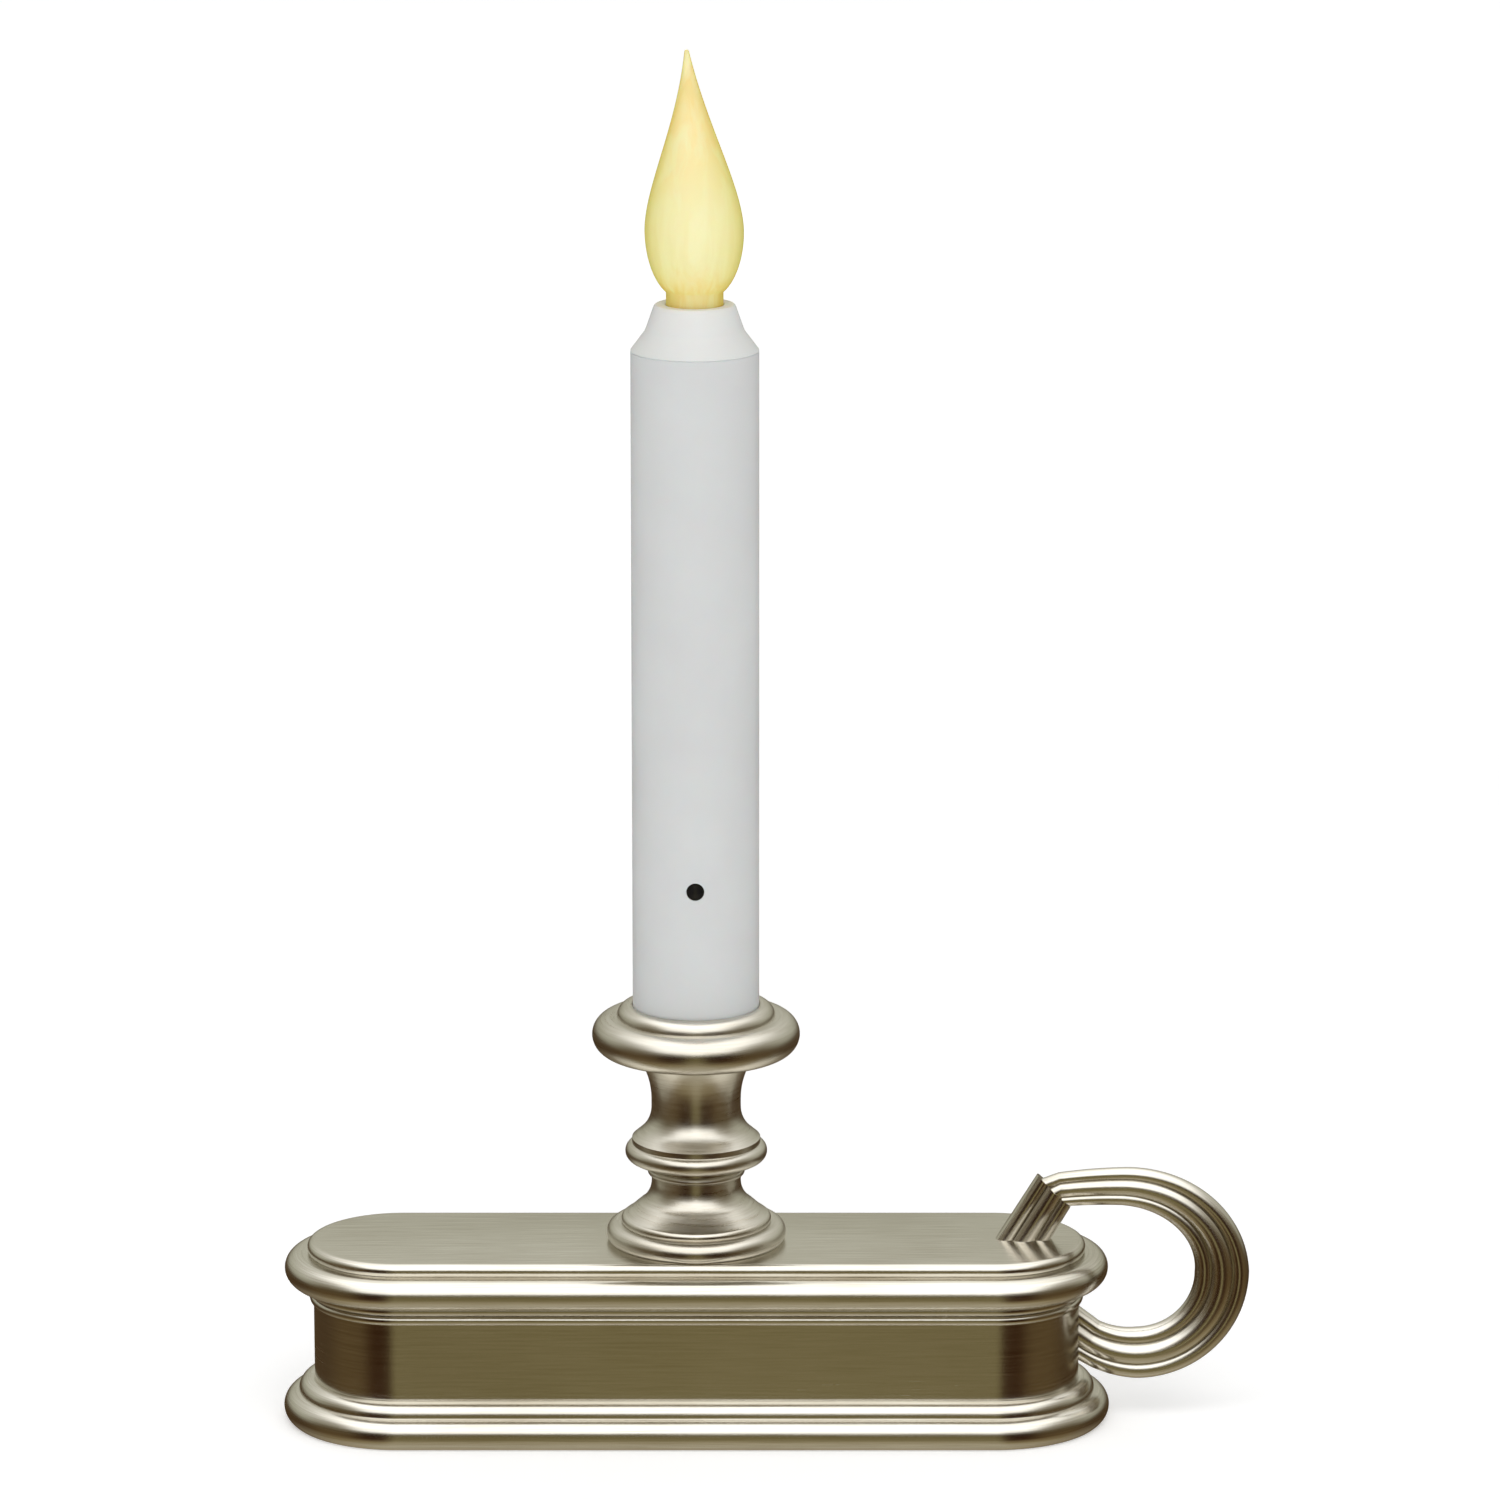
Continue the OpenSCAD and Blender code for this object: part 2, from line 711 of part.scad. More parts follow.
module tube_cap() {
    color("#ebebe7")
    difference() {
        union() {
            rotate_extrude() shoulder_outline();
            translate([0, 0, tube_top - cap_plug_l]) cylinder(r = tube_in - seat, h = cap_plug_l + cut);
        }
        translate([0, 0, tube_top - cap_plug_l - cut])
            cylinder(r = cap_bore_r, h = led_seat_z - tube_top + cap_plug_l + cut);
        translate([0, 0, led_seat_z - cut]) cylinder(r = cap_ledge_r, h = cap_plate_z - led_seat_z + cut);
        translate([0, 0, cap_plate_z - cut]) cylinder(r = bulb_neck_r + slip, h = cap_plate_h + 2 * cut);
        // slots that let the bulb's lugs out after a quarter turn
        box(-lug_r - 0.2, lug_r + 0.2, -lug_w / 2 - 0.2, lug_w / 2 + 0.2, cap_plate_z - cut, cap_top + cut);
    }
}

// ---------------------------------------------------------------- flame bulb and its LED

// Radius and height along the flame, from its neck to its tip
flame_low = 0.25;
flame_wide_z = flame_h * flame_low;
function flame_point(t) =
    t < flame_low ?
        bezier([bulb_neck_r, 0], [bulb_neck_r + 2.3, 2], [flame_r, flame_wide_z - 4],
            [flame_r, flame_wide_z], t / flame_low) :
        bezier([flame_r, flame_wide_z], [flame_r, flame_h * 0.43], [2.6, flame_h * 0.68],
            [0.4, flame_h], (t - flame_low) / (1 - flame_low));

module flame_bulb() {
    rings = 28;
    color("#f4e28a")
    difference() {
        union() {
            translate([0, 0, flame_z0])
                rotate_extrude()
                    polygon(concat(
                        [[0, 0]],
                        [for (i = [0 : rings]) flame_point(i / rings)],
                        [[0, flame_h]]
                    ));
            translate([0, 0, bulb_z0]) cylinder(r = bulb_neck_r, h = flame_z0 - bulb_z0);
            // lugs, locked at the front and the back
            intersection() {
                translate([0, 0, lug_z]) cylinder(r = lug_r, h = lug_h);
                box(-lug_w / 2, lug_w / 2, -2 * lug_r, 2 * lug_r, lug_z, lug_z + lug_h);
            }
        }
        translate([0, 0, bulb_z0 - cut]) cylinder(r = led_bore_r, h = led_z + 9.6 - bulb_z0 + cut);
    }
}

module led() {
    color("#f2efd8") {
        translate([0, 0, led_z])
            rotate_extrude() {
                square([led_r + 0.4, 1]);
                square([led_r, led_body_l]);
                intersection() {
                    translate([0, led_body_l]) circle(r = led_r);
                    square([led_r, led_body_l + led_r]);
                }
            }
        for (side = [-1, 1])
            translate([side * led_lead_x, 0, led_lead_z])
                cylinder(r = led_lead_r, h = led_z - led_lead_z + cut, $fn = 24);
    }
}

module led_holder() {
    color("#d8d8d2")
    difference() {
        union() {
            translate([0, 0, led_seat_z - holder_h]) cylinder(r = cap_bore_r - seat, h = holder_h);
            translate([0, 0, led_seat_z - cut]) cylinder(r = holder_post_r, h = led_z - led_seat_z + cut);
        }
        for (side = [-1, 1])
            translate([side * led_lead_x, 0, led_seat_z - holder_h - cut])
                cylinder(r = led_lead_r + 0.1, h = holder_h + led_z - led_seat_z + 2 * cut, $fn = 24);
    }
}

// ---------------------------------------------------------------- light sensor and board

module sensor_window() {
    color("#101012")
    translate([0, -tube_r + 0.4, sensor_z])
        rotate([-90, 0, 0]) cylinder(r = sensor_d / 2 - seat, h = tube_wall + 0.2);
}

module light_sensor() {
    sensor_back = board_y - 2.8;
    color("#7a3b2a") {
        translate([0, sensor_back, sensor_z]) rotate([90, 0, 0]) cylinder(r = 2.1, h = 1.8);
        for (side = [-1, 1])
            translate([side * led_lead_x, board_y, sensor_z])
                rotate([90, 0, 0]) cylinder(r = led_lead_r, h = board_y - sensor_back + cut, $fn = 24);
    }
}

module circuit_board() {
    color("#2f6b3a")
    difference() {
        box(-board_w / 2, board_w / 2, board_y, board_back, board_z0, board_top);
        for (side = [-1, 1])
            translate([side * 4.6, board_back + cut, board_top - 3])
                rotate([90, 0, 0]) cylinder(r = 0.9, h = board_t + 2 * cut);
    }
}

module timer_chip() {
    chip_z = sensor_z + 14;
    color("#202022") {
        box(-2, 2, board_back + 0.2, board_back + 1.6, chip_z - 2.5, chip_z + 2.5);
        for (side = [-1, 1], k = [-1.5 : 1.5])
            box(side * 2.5 - 0.6, side * 2.5 + 0.6, board_back, board_back + 0.7,
                chip_z + 1.2 * k - 0.2, chip_z + 1.2 * k + 0.2);
    }
}

module quartz_crystal() {
    crystal_z = sensor_z + 5;
    color("#d0d0cc") {
        translate([3.4, board_back + 1, crystal_z - 3]) cylinder(r = 1, h = 6);
        for (side = [-1, 1])
            box(3.4 + side * 0.5 - 0.15, 3.4 + side * 0.5 + 0.15, board_back, board_back + 1.2,
                crystal_z - 3.3, crystal_z - 2.9);
    }
}

module capacitor() {
    can_z = sensor_z - 12;
    color("#26324a") {
        translate([-3, board_back + 2.7, can_z]) cylinder(r = 2.4, h = 7);
        for (side = [-1, 1])
            box(-3 + side - 0.2, -3 + side + 0.2, board_back, board_back + 2.9, can_z - 0.4, can_z + 0.1);
    }
}

module resistors() {
    color("#3a3a3a")
    for (k = [0 : 3], side = [-1, 1])
        box(side * 3.2 - 1.6, side * 3.2 + 1.6, board_y - 0.6, board_y,
            sensor_z + 8 + 4.5 * k - 0.8, sensor_z + 8 + 4.5 * k + 0.8);
}

module transistor() {
    body_z = sensor_z + 21;
    color("#1b1b1b")
    translate([2.6, board_back + 0.3, body_z]) {
        intersection() {
            translate([0, 0.4, 0]) cylinder(r = 2.2, h = 4.4);
            box(-3, 3, 0, 3, 0, 4.4);
        }
        for (k = [-1, 0, 1])
            box(k * 1.27 - 0.2, k * 1.27 + 0.2, -0.3, 0.2, -0.4, 0.4);
    }
}

// ---------------------------------------------------------------- handle

// Across the handle, as shares of its thickness: a broad round reed between two narrow ones
function reed_arc(at, r, a0, a1, steps) =
    [for (k = [0 : steps - 1])
        let (a = a0 + (a1 - a0) * k / steps)
        [at + r * cos(a), r * sin(a)]];

reed_cross = (pow(reed_step, 2) + pow(mid_reed, 2) - pow(side_reed, 2)) / 2 / reed_step;
mid_meet = acos(reed_cross / mid_reed);
side_meet = 180 - acos((reed_step - reed_cross) / side_reed);
reed_section = concat(
    reed_arc(reed_step, side_reed, -side_meet, side_meet, 9),
    reed_arc(0, mid_reed, mid_meet, 180 - mid_meet, 5),
    reed_arc(-reed_step, side_reed, 180 - side_meet, 180 + side_meet, 9),
    reed_arc(0, mid_reed, 180 + mid_meet, 360 - mid_meet, 5)
);

// Rings along a quarter of the loop, with the thickness going from t0 to t1
function loop_arc(cx, cz, rx, rz, a0, a1, t0, t1, steps) =
    [for (k = [0 : steps - 1])
        let (
            s = k / steps, a = a0 + (a1 - a0) * s,
            out = atan2(rx * sin(a), rz * cos(a)), t = t0 + (t1 - t0) * s
        )
        [cx + rx * cos(a), cz + rz * sin(a), out, t, t]];

root_t = handle_t * 0.83;
low_t = handle_t * 0.97;
top_t = handle_t * 0.71;
mitre_t = handle_t * 0.64;
leg_t = handle_t * 0.85;
root_turn = 39;
root_r = (loop_x - seat_x) / sin(root_turn);
mitre_fall = 2 * atan((loop_top - mitre_z) / (top_x - mitre_x));
handle_rings = concat(
    [[seat_x, loop_low + root_r * (1 - cos(root_turn)), -90, root_t / cos(root_turn), root_t]],
    loop_arc(loop_x, loop_low + root_r, root_r, root_r, -90 - root_turn * 0.8, -90, root_t, low_t, 5),
    loop_arc(loop_x, loop_mid, loop_r, loop_r, -90, 0, low_t, handle_t, 11),
    loop_arc(top_x, loop_mid, waist_end + handle_reach - top_x, loop_top - loop_mid,
        0, 90, handle_t, top_t, 13),
    [for (k = [0 : 3])
        let (s = k / 4, a = 90 + mitre_fall * s)
        [top_x + (mitre_x - top_x) * s, loop_top + (mitre_z - loop_top) * s * s, a,
            top_t + (mitre_t - top_t) * s, top_t + (mitre_t - top_t) * s]],
    [[mitre_x, mitre_z, 134.5, leg_t * 1.03, leg_t * 0.85]],
    [[leg_x, base_h, 180, leg_t / sin(leg_slope), leg_t]]
);

module handle() {
    sides = len(reed_section);
    points = [for (g = handle_rings, q = reed_section)
        [g[0] + g[3] * q[0] * cos(g[2]), g[4] * handle_depth / 2 / mid_reed * q[1],
            g[1] + g[3] * q[0] * sin(g[2])]];
    color("#a39a84")
    difference() {
        polyhedron(points = points, faces = tube_faces(len(handle_rings), sides));
        translate([seat_x - cut, 0, handle_root_z])
            rotate([0, 90, 0]) cylinder(r = screw_r, h = handle_screw_l - base_wall + cut + 0.5);
        translate([leg_screw_x, 0, base_h - cut])
            cylinder(r = screw_r, h = handle_screw_l - roof_t + cut + 0.2);
    }
}

module handle_screws() {
    color("silver") {
        translate([root_screw_x, 0, handle_root_z]) rotate([0, 90, 0]) screw(handle_screw_l);
        translate([leg_screw_x, 0, roof_z]) screw(handle_screw_l);
    }
}

// ---------------------------------------------------------------- wires

module wire_positive() {
    tab = cells_x1 + contact_t;
    route = [
        [tab, -tab_y, tab_top - 1],
        [tab + 1.6, -tab_y, tab_top - 0.6],
        [tab + 2, -tab_y, wire_z - 0.6],
        [tab - 2, -tab_y, wire_z],
        [30, -tab_y, wire_z],
        [9, -4.4, wire_z],
        [3.6, -1.9, wire_z],
        [1.7, -1.45, wire_z + 0.6],
        [1.5, -1.4, base_h + 3],
        [1.5, -1.4, stem_top],
        [3.5, (board_y + board_back) / 2, board_z0 - 4],
        [3.5, (board_y + board_back) / 2, board_z0]
    ];
    color("#b01c1c") wire(smooth(route, 4), wire_r, [0, 1, 0]);
}

module wire_negative() {
    pin_top = pocket_h + switch_h + switch_pin_h;
    past_boss = boss_r + wire_r + 1 - boss_y;
    route = [
        [switch_x, 0, pin_top],
        [switch_x, 0, pin_top + 2],
        [switch_x - 0.5, -3, cell_z + 5],
        [switch_x + 1, past_boss, wire_z - 2],
        [switch_x + 5, -tab_y, wire_z - 0.3],
        [-30, -tab_y, wire_z],
        [-9, -4.4, wire_z],
        [-3.6, -1.9, wire_z],
        [-1.7, -1.45, wire_z + 0.6],
        [-1.5, -1.4, base_h + 3],
        [-1.5, -1.4, stem_top],
        [-3.5, (board_y + board_back) / 2, board_z0 - 4],
        [-3.5, (board_y + board_back) / 2, board_z0]
    ];
    color("#161616") wire(smooth(route, 4), wire_r, [0, 1, 0]);
}

module wire_switch() {
    pin_x = switch_x + switch_pin_step;
    pin_top = pocket_h + switch_h + switch_pin_h;
    tab = spring_x0 - contact_t;
    route = [
        [tab, tab_y, tab_top - 1.2],
        [tab - 1.6, tab_y, tab_top - 1.4],
        [pin_x + 0.2, 4, cell_z + 5],
        [pin_x, 0.6, pin_top + 4],
        [pin_x, 0, pin_top]
    ];
    color("#161616") wire(smooth(route, 4), wire_r, [0, 0, 1]);
}

module led_wires() {
    color("#8f1717")
    for (side = [-1, 1])
        wire(smooth([
            [side * 3, (board_y + board_back) / 2, board_top],
            [side * 3, (board_y + board_back) / 2, board_top + 4],
            [side * led_lead_x, 0, board_top + 14],
            [side * led_lead_x, 0, led_lead_z]
        ], 4), 0.5, [1, 0, 0]);
}

base_shell();
bottom_plate();
battery_door();
hinge_pins();
plate_screws();
battery_left();
battery_right();
positive_contact();
negative_contact();
contact_spring();
switch_housing();
switch_slider();
switch_pins();
stem();
stem_screws();
drip_cup();
candle_tube();
tube_cap();
flame_bulb();
led();
led_holder();
sensor_window();
light_sensor();
circuit_board();
timer_chip();
quartz_crystal();
capacitor();
resistors();
transistor();
handle();
handle_screws();
wire_positive();
wire_negative();
wire_switch();
led_wires();
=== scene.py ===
import math

import bpy
import bmesh
from mathutils import Matrix, Vector


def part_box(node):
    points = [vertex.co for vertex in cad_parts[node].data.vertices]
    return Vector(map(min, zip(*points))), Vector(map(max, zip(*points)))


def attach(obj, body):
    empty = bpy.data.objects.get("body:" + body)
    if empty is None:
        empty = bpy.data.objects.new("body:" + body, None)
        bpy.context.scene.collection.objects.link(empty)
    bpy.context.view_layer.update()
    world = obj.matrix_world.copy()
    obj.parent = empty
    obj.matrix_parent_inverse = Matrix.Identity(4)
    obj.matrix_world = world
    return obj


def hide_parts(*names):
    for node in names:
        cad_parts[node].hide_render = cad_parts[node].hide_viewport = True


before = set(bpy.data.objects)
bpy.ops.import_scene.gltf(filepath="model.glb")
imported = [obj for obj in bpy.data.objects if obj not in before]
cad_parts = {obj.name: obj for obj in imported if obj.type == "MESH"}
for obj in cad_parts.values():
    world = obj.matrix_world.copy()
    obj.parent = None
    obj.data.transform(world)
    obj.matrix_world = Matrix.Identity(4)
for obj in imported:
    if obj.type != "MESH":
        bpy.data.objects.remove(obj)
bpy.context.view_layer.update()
mm = 0.001
weld = mm / 1000

# what the rest is placed from
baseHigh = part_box("base_shell")[1]
stemLow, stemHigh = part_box("stem")
tubeLow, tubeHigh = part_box("candle_tube")
flameLow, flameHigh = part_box("flame_bulb")
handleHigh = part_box("handle")[1]


# camera, floor and light

camera = {
    "lens": 175.7,
    "sensor": 36.0,
    "down": 13.5,            # degrees
    "distance": 1263 * mm,
    "target": (9.4 * mm, 0, 120.5 * mm),
}


def makeCamera(c):
    data = bpy.data.cameras.new("camera")
    data.lens = c["lens"]
    data.sensor_width = c["sensor"]
    data.clip_start = 0.05
    data.clip_end = 30
    cam = bpy.data.objects.new("camera", data)
    bpy.context.scene.collection.objects.link(cam)
    tilt = math.radians(c["down"])
    back = Vector((0, -math.cos(tilt), math.sin(tilt)))
    cam.location = Vector(c["target"]) + c["distance"] * back
    cam.rotation_euler = (math.pi / 2 - tilt, 0, 0)
    bpy.context.scene.camera = cam


softboxes = {
    # name: place, aim, width, height, watts, colour
    "overhead": ((0, -0.55, 1.15), (0, 0, 0.1), 1.5, 0.7, 5.2, (1, 0.99, 0.975)),
    "front": ((0.1, -1.7, 1.05), (0, 0, 0.2), 1.4, 0.9, 6.1, (0.97, 0.985, 1)),
    "left": ((-1.3, -0.5, 0.6), (0, 0, 0.1), 0.7, 0.9, 0.6, (1, 0.985, 0.97)),
    "right": ((1.3, -0.3, 0.6), (0, 0, 0.1), 0.7, 0.9, 0.5, (1, 0.985, 0.97)),
    "behind": ((0, 1.3, 0.9), (0, 0, 0.1), 1.4, 0.8, 2.8, (1, 1, 1)),
}


def makeLights(boxes):
    for name, (place, aim, wide, high, watts, colour) in boxes.items():
        data = bpy.data.lights.new(name, "AREA")
        data.shape = "RECTANGLE"
        data.size, data.size_y = wide, high
        data.energy = watts
        data.color = colour
        lamp = bpy.data.objects.new(name, data)
        bpy.context.scene.collection.objects.link(lamp)
        lamp.location = place
        lamp.rotation_euler = (Vector(aim) - Vector(place)).to_track_quat("-Z", "Y").to_euler()
        lamp.visible_glossy = False


# small helpers for node materials

def newMaterial(name):
    mat = bpy.data.materials.new(name)
    mat.use_nodes = True
    tree = mat.node_tree
    return mat, tree.nodes, tree.links, tree.nodes["Principled BSDF"]


def node(nodes, kind, **values):
    made = nodes.new(kind)
    for key, value in values.items():
        setattr(made, key, value)
    return made


def ramp(nodes, links, source, stops):
    made = nodes.new("ShaderNodeValToRGB")
    made.color_ramp.elements[0].position = stops[0][0]
    made.color_ramp.elements[0].color = (*stops[0][1], 1)
    made.color_ramp.elements[1].position = stops[-1][0]
    made.color_ramp.elements[1].color = (*stops[-1][1], 1)
    for at, colour in stops[1:-1]:
        made.color_ramp.elements.new(at).color = (*colour, 1)
    links.new(source, made.inputs["Fac"])
    return made.outputs["Color"]


def grey(value):
    return (value, value, value)


# what the metal mirrors, from straight down (0) to straight up (1), by direction
room = {
    "front": [(0.0, (0.50, 0.46, 0.35)), (0.14, (0.45, 0.395, 0.265)), (0.28, (0.27, 0.23, 0.115)),
              (0.40, (0.255, 0.215, 0.095)), (0.57, (0.19, 0.16, 0.08)), (0.65, (0.42, 0.40, 0.33)),
              (0.72, (2.0, 2.0, 1.98)), (1.0, (1.9, 1.9, 1.88))],
    "flag": [(0.0, (0.50, 0.46, 0.35)), (0.14, (0.30, 0.235, 0.12)), (0.27, (0.04, 0.012, 0.001)),
             (0.58, (0.025, 0.008, 0.001)), (0.68, (0.22, 0.19, 0.13)), (0.75, (1.7, 1.7, 1.68)),
             (1.0, (1.9, 1.9, 1.88))],
    "side": [(0.0, (0.44, 0.39, 0.27)), (0.12, (0.27, 0.21, 0.11)), (0.30, (0.115, 0.072, 0.027)),
             (0.50, (0.11, 0.075, 0.032)), (0.60, (0.15, 0.12, 0.07)), (0.70, (0.32, 0.29, 0.22)),
              (0.82, (0.55, 0.53, 0.47)), (0.94, (1.25, 1.24, 1.18)), (1.0, (1.9, 1.9, 1.88))],
    "back": [(0.0, (0.46, 0.40, 0.28)), (0.3, (0.07, 0.04, 0.016)), (0.46, (0.085, 0.055, 0.026)),
             (0.56, (0.43, 0.425, 0.34)), (0.64, (0.52, 0.52, 0.43)), (0.8, (0.75, 0.74, 0.68)),
             (1.0, (1.9, 1.9, 1.88))],
}


def makeWorld():
    world = bpy.data.worlds.new("studio")
    bpy.context.scene.world = world
    world.use_nodes = True
    nodes, links = world.node_tree.nodes, world.node_tree.links
    out = nodes["World Output"]
    place = nodes.new("ShaderNodeTexCoord")
    split = nodes.new("ShaderNodeSeparateXYZ")
    links.new(place.outputs["Generated"], split.inputs[0])
    # height of the direction, 0 straight down to 1 straight up
    height = node(nodes, "ShaderNodeMapRange")
    height.inputs["From Min"].default_value = -1
    height.inputs["From Max"].default_value = 1
    links.new(split.outputs["Z"], height.inputs["Value"])
    aside = node(nodes, "ShaderNodeMath", operation="ABSOLUTE")
    links.new(split.outputs["X"], aside.inputs[0])

    def blend(source, low, high, a, b):
        share = node(nodes, "ShaderNodeMapRange", interpolation_type="SMOOTHSTEP")
        share.inputs["From Min"].default_value = low
        share.inputs["From Max"].default_value = high
        links.new(source, share.inputs["Value"])
        mix = node(nodes, "ShaderNodeMix", data_type="RGBA")
        links.new(share.outputs[0], mix.inputs["Factor"])
        links.new(a, mix.inputs["A"])
        links.new(b, mix.inputs["B"])
        return mix.outputs["Result"]

    views = {name: ramp(nodes, links, height.outputs[0], stops) for name, stops in room.items()}
    ahead = blend(aside.outputs[0], 0.10, 0.20, views["front"], views["flag"])
    ahead = blend(aside.outputs[0], 0.50, 0.80, ahead, views["side"])
    around = blend(split.outputs["Y"], -0.25, 0.45, ahead, views["back"])
    path = nodes.new("ShaderNodeLightPath")
    shown = nodes["Background"]
    layers = ((0.38, None, None), (1.0, around, "Is Glossy Ray"), (1.0, None, "Is Camera Ray"))
    for strength, colour, ray in layers:
        light = shown if ray is None else nodes.new("ShaderNodeBackground")
        light.inputs["Color"].default_value = (1, 1, 1, 1)
        light.inputs["Strength"].default_value = strength
        if colour is not None:
            links.new(colour, light.inputs["Color"])
        if ray is None:
            soFar = light.outputs[0]
            continue
        choose = nodes.new("ShaderNodeMixShader")
        links.new(path.outputs[ray], choose.inputs[0])
        links.new(soFar, choose.inputs[1])
        links.new(light.outputs[0], choose.inputs[2])
        soFar = choose.outputs[0]
    links.new(soFar, out.inputs["Surface"])


def makeFloor():
    bm = bmesh.new()
    bmesh.ops.create_circle(bm, cap_ends=True, segments=96, radius=8)
    mesh = bpy.data.meshes.new("floor")
    bm.to_mesh(mesh)
    bm.free()
    floor = bpy.data.objects.new("floor", mesh)
    bpy.context.scene.collection.objects.link(floor)
    mat, nodes, links, bsdf = newMaterial("floorPaper")
    where = nodes.new("ShaderNodeTexCoord")
    cloud = nodes.new("ShaderNodeTexNoise")
    cloud.inputs["Scale"].default_value = 3
    links.new(where.outputs["Object"], cloud.inputs["Vector"])
    links.new(ramp(nodes, links, cloud.outputs["Fac"], [(0.3, grey(0.90)), (0.7, grey(0.93))]),
              bsdf.inputs["Base Color"])
    bsdf.inputs["Roughness"].default_value = 0.9
    bsdf.inputs["Specular IOR Level"].default_value = 0.1
    bsdf.inputs["Emission Color"].default_value = (1, 1, 1, 1)      # a lit table, so that it looks pale
    far = node(nodes, "ShaderNodeVectorMath", operation="LENGTH")
    links.new(where.outputs["Object"], far.inputs[0])
    glow = nodes.new("ShaderNodeMapRange")
    glow.inputs["From Min"].default_value = 0.5
    glow.inputs["From Max"].default_value = 1.9
    glow.inputs["To Min"].default_value = 0.40
    glow.inputs["To Max"].default_value = 0.62
    links.new(far.outputs["Value"], glow.inputs["Value"])
    links.new(glow.outputs[0], bsdf.inputs["Emission Strength"])
    mesh.materials.append(mat)
    floor.visible_glossy = False


makeCamera(camera)
makeLights(softboxes)
makeWorld()
makeFloor()
bpy.context.scene.view_settings.view_transform = "Standard"
print("camera, light and floor ready")


# materials

pewter = {
    "light": (0.77, 0.745, 0.68),
    "mid": (0.67, 0.64, 0.57),
    "dark": (0.55, 0.51, 0.43),
    "brushed": (0.19, 0.28),     # roughness of the long parts, then of the turned ones
    "turned": (0.25, 0.35),
    "grain": (60, 2600),      # per metre, along and across the brush lines
    "bump": 0.06,
}


def makePewter(name, p, uvMap=""):
    mat, nodes, links, bsdf = newMaterial(name)
    where = nodes.new("ShaderNodeTexCoord")
    bsdf.inputs["Metallic"].default_value = 1
    if uvMap:
        source = node(nodes, "ShaderNodeUVMap", uv_map=uvMap).outputs["UV"]
        stretch = nodes.new("ShaderNodeMapping")
        stretch.inputs["Scale"].default_value = (p["grain"][0], p["grain"][1], 1)
        links.new(source, stretch.inputs["Vector"])
        lines = stretch.outputs[0]
    else:
        # turned work: the lines run round the axis
        split = nodes.new("ShaderNodeSeparateXYZ")
        links.new(where.outputs["Object"], split.inputs[0])
        reach = node(nodes, "ShaderNodeVectorMath", operation="LENGTH")
        flat = nodes.new("ShaderNodeCombineXYZ")
        links.new(split.outputs["X"], flat.inputs["X"])
        links.new(split.outputs["Y"], flat.inputs["Y"])
        links.new(flat.outputs[0], reach.inputs[0])
        angle = node(nodes, "ShaderNodeMath", operation="ARCTAN2")
        links.new(split.outputs["Y"], angle.inputs[0])
        links.new(split.outputs["X"], angle.inputs[1])
        turned = nodes.new("ShaderNodeCombineXYZ")
        links.new(reach.outputs["Value"], turned.inputs["X"])
        links.new(split.outputs["Z"], turned.inputs["Y"])
        links.new(angle.outputs[0], turned.inputs["Z"])
        stretch = nodes.new("ShaderNodeMapping")
        stretch.inputs["Scale"].default_value = (p["grain"][1] * 0.6, p["grain"][1] * 0.6, 1.2)
        links.new(turned.outputs[0], stretch.inputs["Vector"])
        lines = stretch.outputs[0]
    grain = nodes.new("ShaderNodeTexNoise")
    grain.inputs["Scale"].default_value = 1
    grain.inputs["Detail"].default_value = 4
    grain.inputs["Roughness"].default_value = 0.65
    links.new(lines, grain.inputs["Vector"])
    cloud = nodes.new("ShaderNodeTexNoise")
    cloud.inputs["Scale"].default_value = 38
    cloud.inputs["Detail"].default_value = 3
    links.new(where.outputs["Object"], cloud.inputs["Vector"])
    fleck = nodes.new("ShaderNodeTexNoise")
    fleck.inputs["Scale"].default_value = 2600
    fleck.inputs["Detail"].default_value = 1
    links.new(where.outputs["Object"], fleck.inputs["Vector"])
    both = node(nodes, "ShaderNodeMix", data_type="FLOAT")
    both.inputs["Factor"].default_value = 0.35
    links.new(grain.outputs["Fac"], both.inputs["A"])
    links.new(cloud.outputs["Fac"], both.inputs["B"])
    links.new(ramp(nodes, links, both.outputs["Result"],
                   [(0.32, p["dark"]), (0.5, p["mid"]), (0.68, p["light"])]), bsdf.inputs["Base Color"])
    rough = nodes.new("ShaderNodeMapRange")
    rough.inputs["From Min"].default_value = 0.3
    rough.inputs["From Max"].default_value = 0.7
    smooth, coarse = p["brushed"] if uvMap else p["turned"]
    rough.inputs["To Min"].default_value = smooth
    rough.inputs["To Max"].default_value = coarse
    links.new(both.outputs["Result"], rough.inputs["Value"])
    links.new(rough.outputs[0], bsdf.inputs["Roughness"])
    height = node(nodes, "ShaderNodeMix", data_type="FLOAT")
    height.inputs["Factor"].default_value = 0.4
    links.new(grain.outputs["Fac"], height.inputs["A"])
    links.new(fleck.outputs["Fac"], height.inputs["B"])
    bump = nodes.new("ShaderNodeBump")
    bump.inputs["Strength"].default_value = p["bump"]
    bump.inputs["Distance"].default_value = 0.0002
    links.new(height.outputs["Result"], bump.inputs["Height"])
    links.new(bump.outputs[0], bsdf.inputs["Normal"])
    return mat


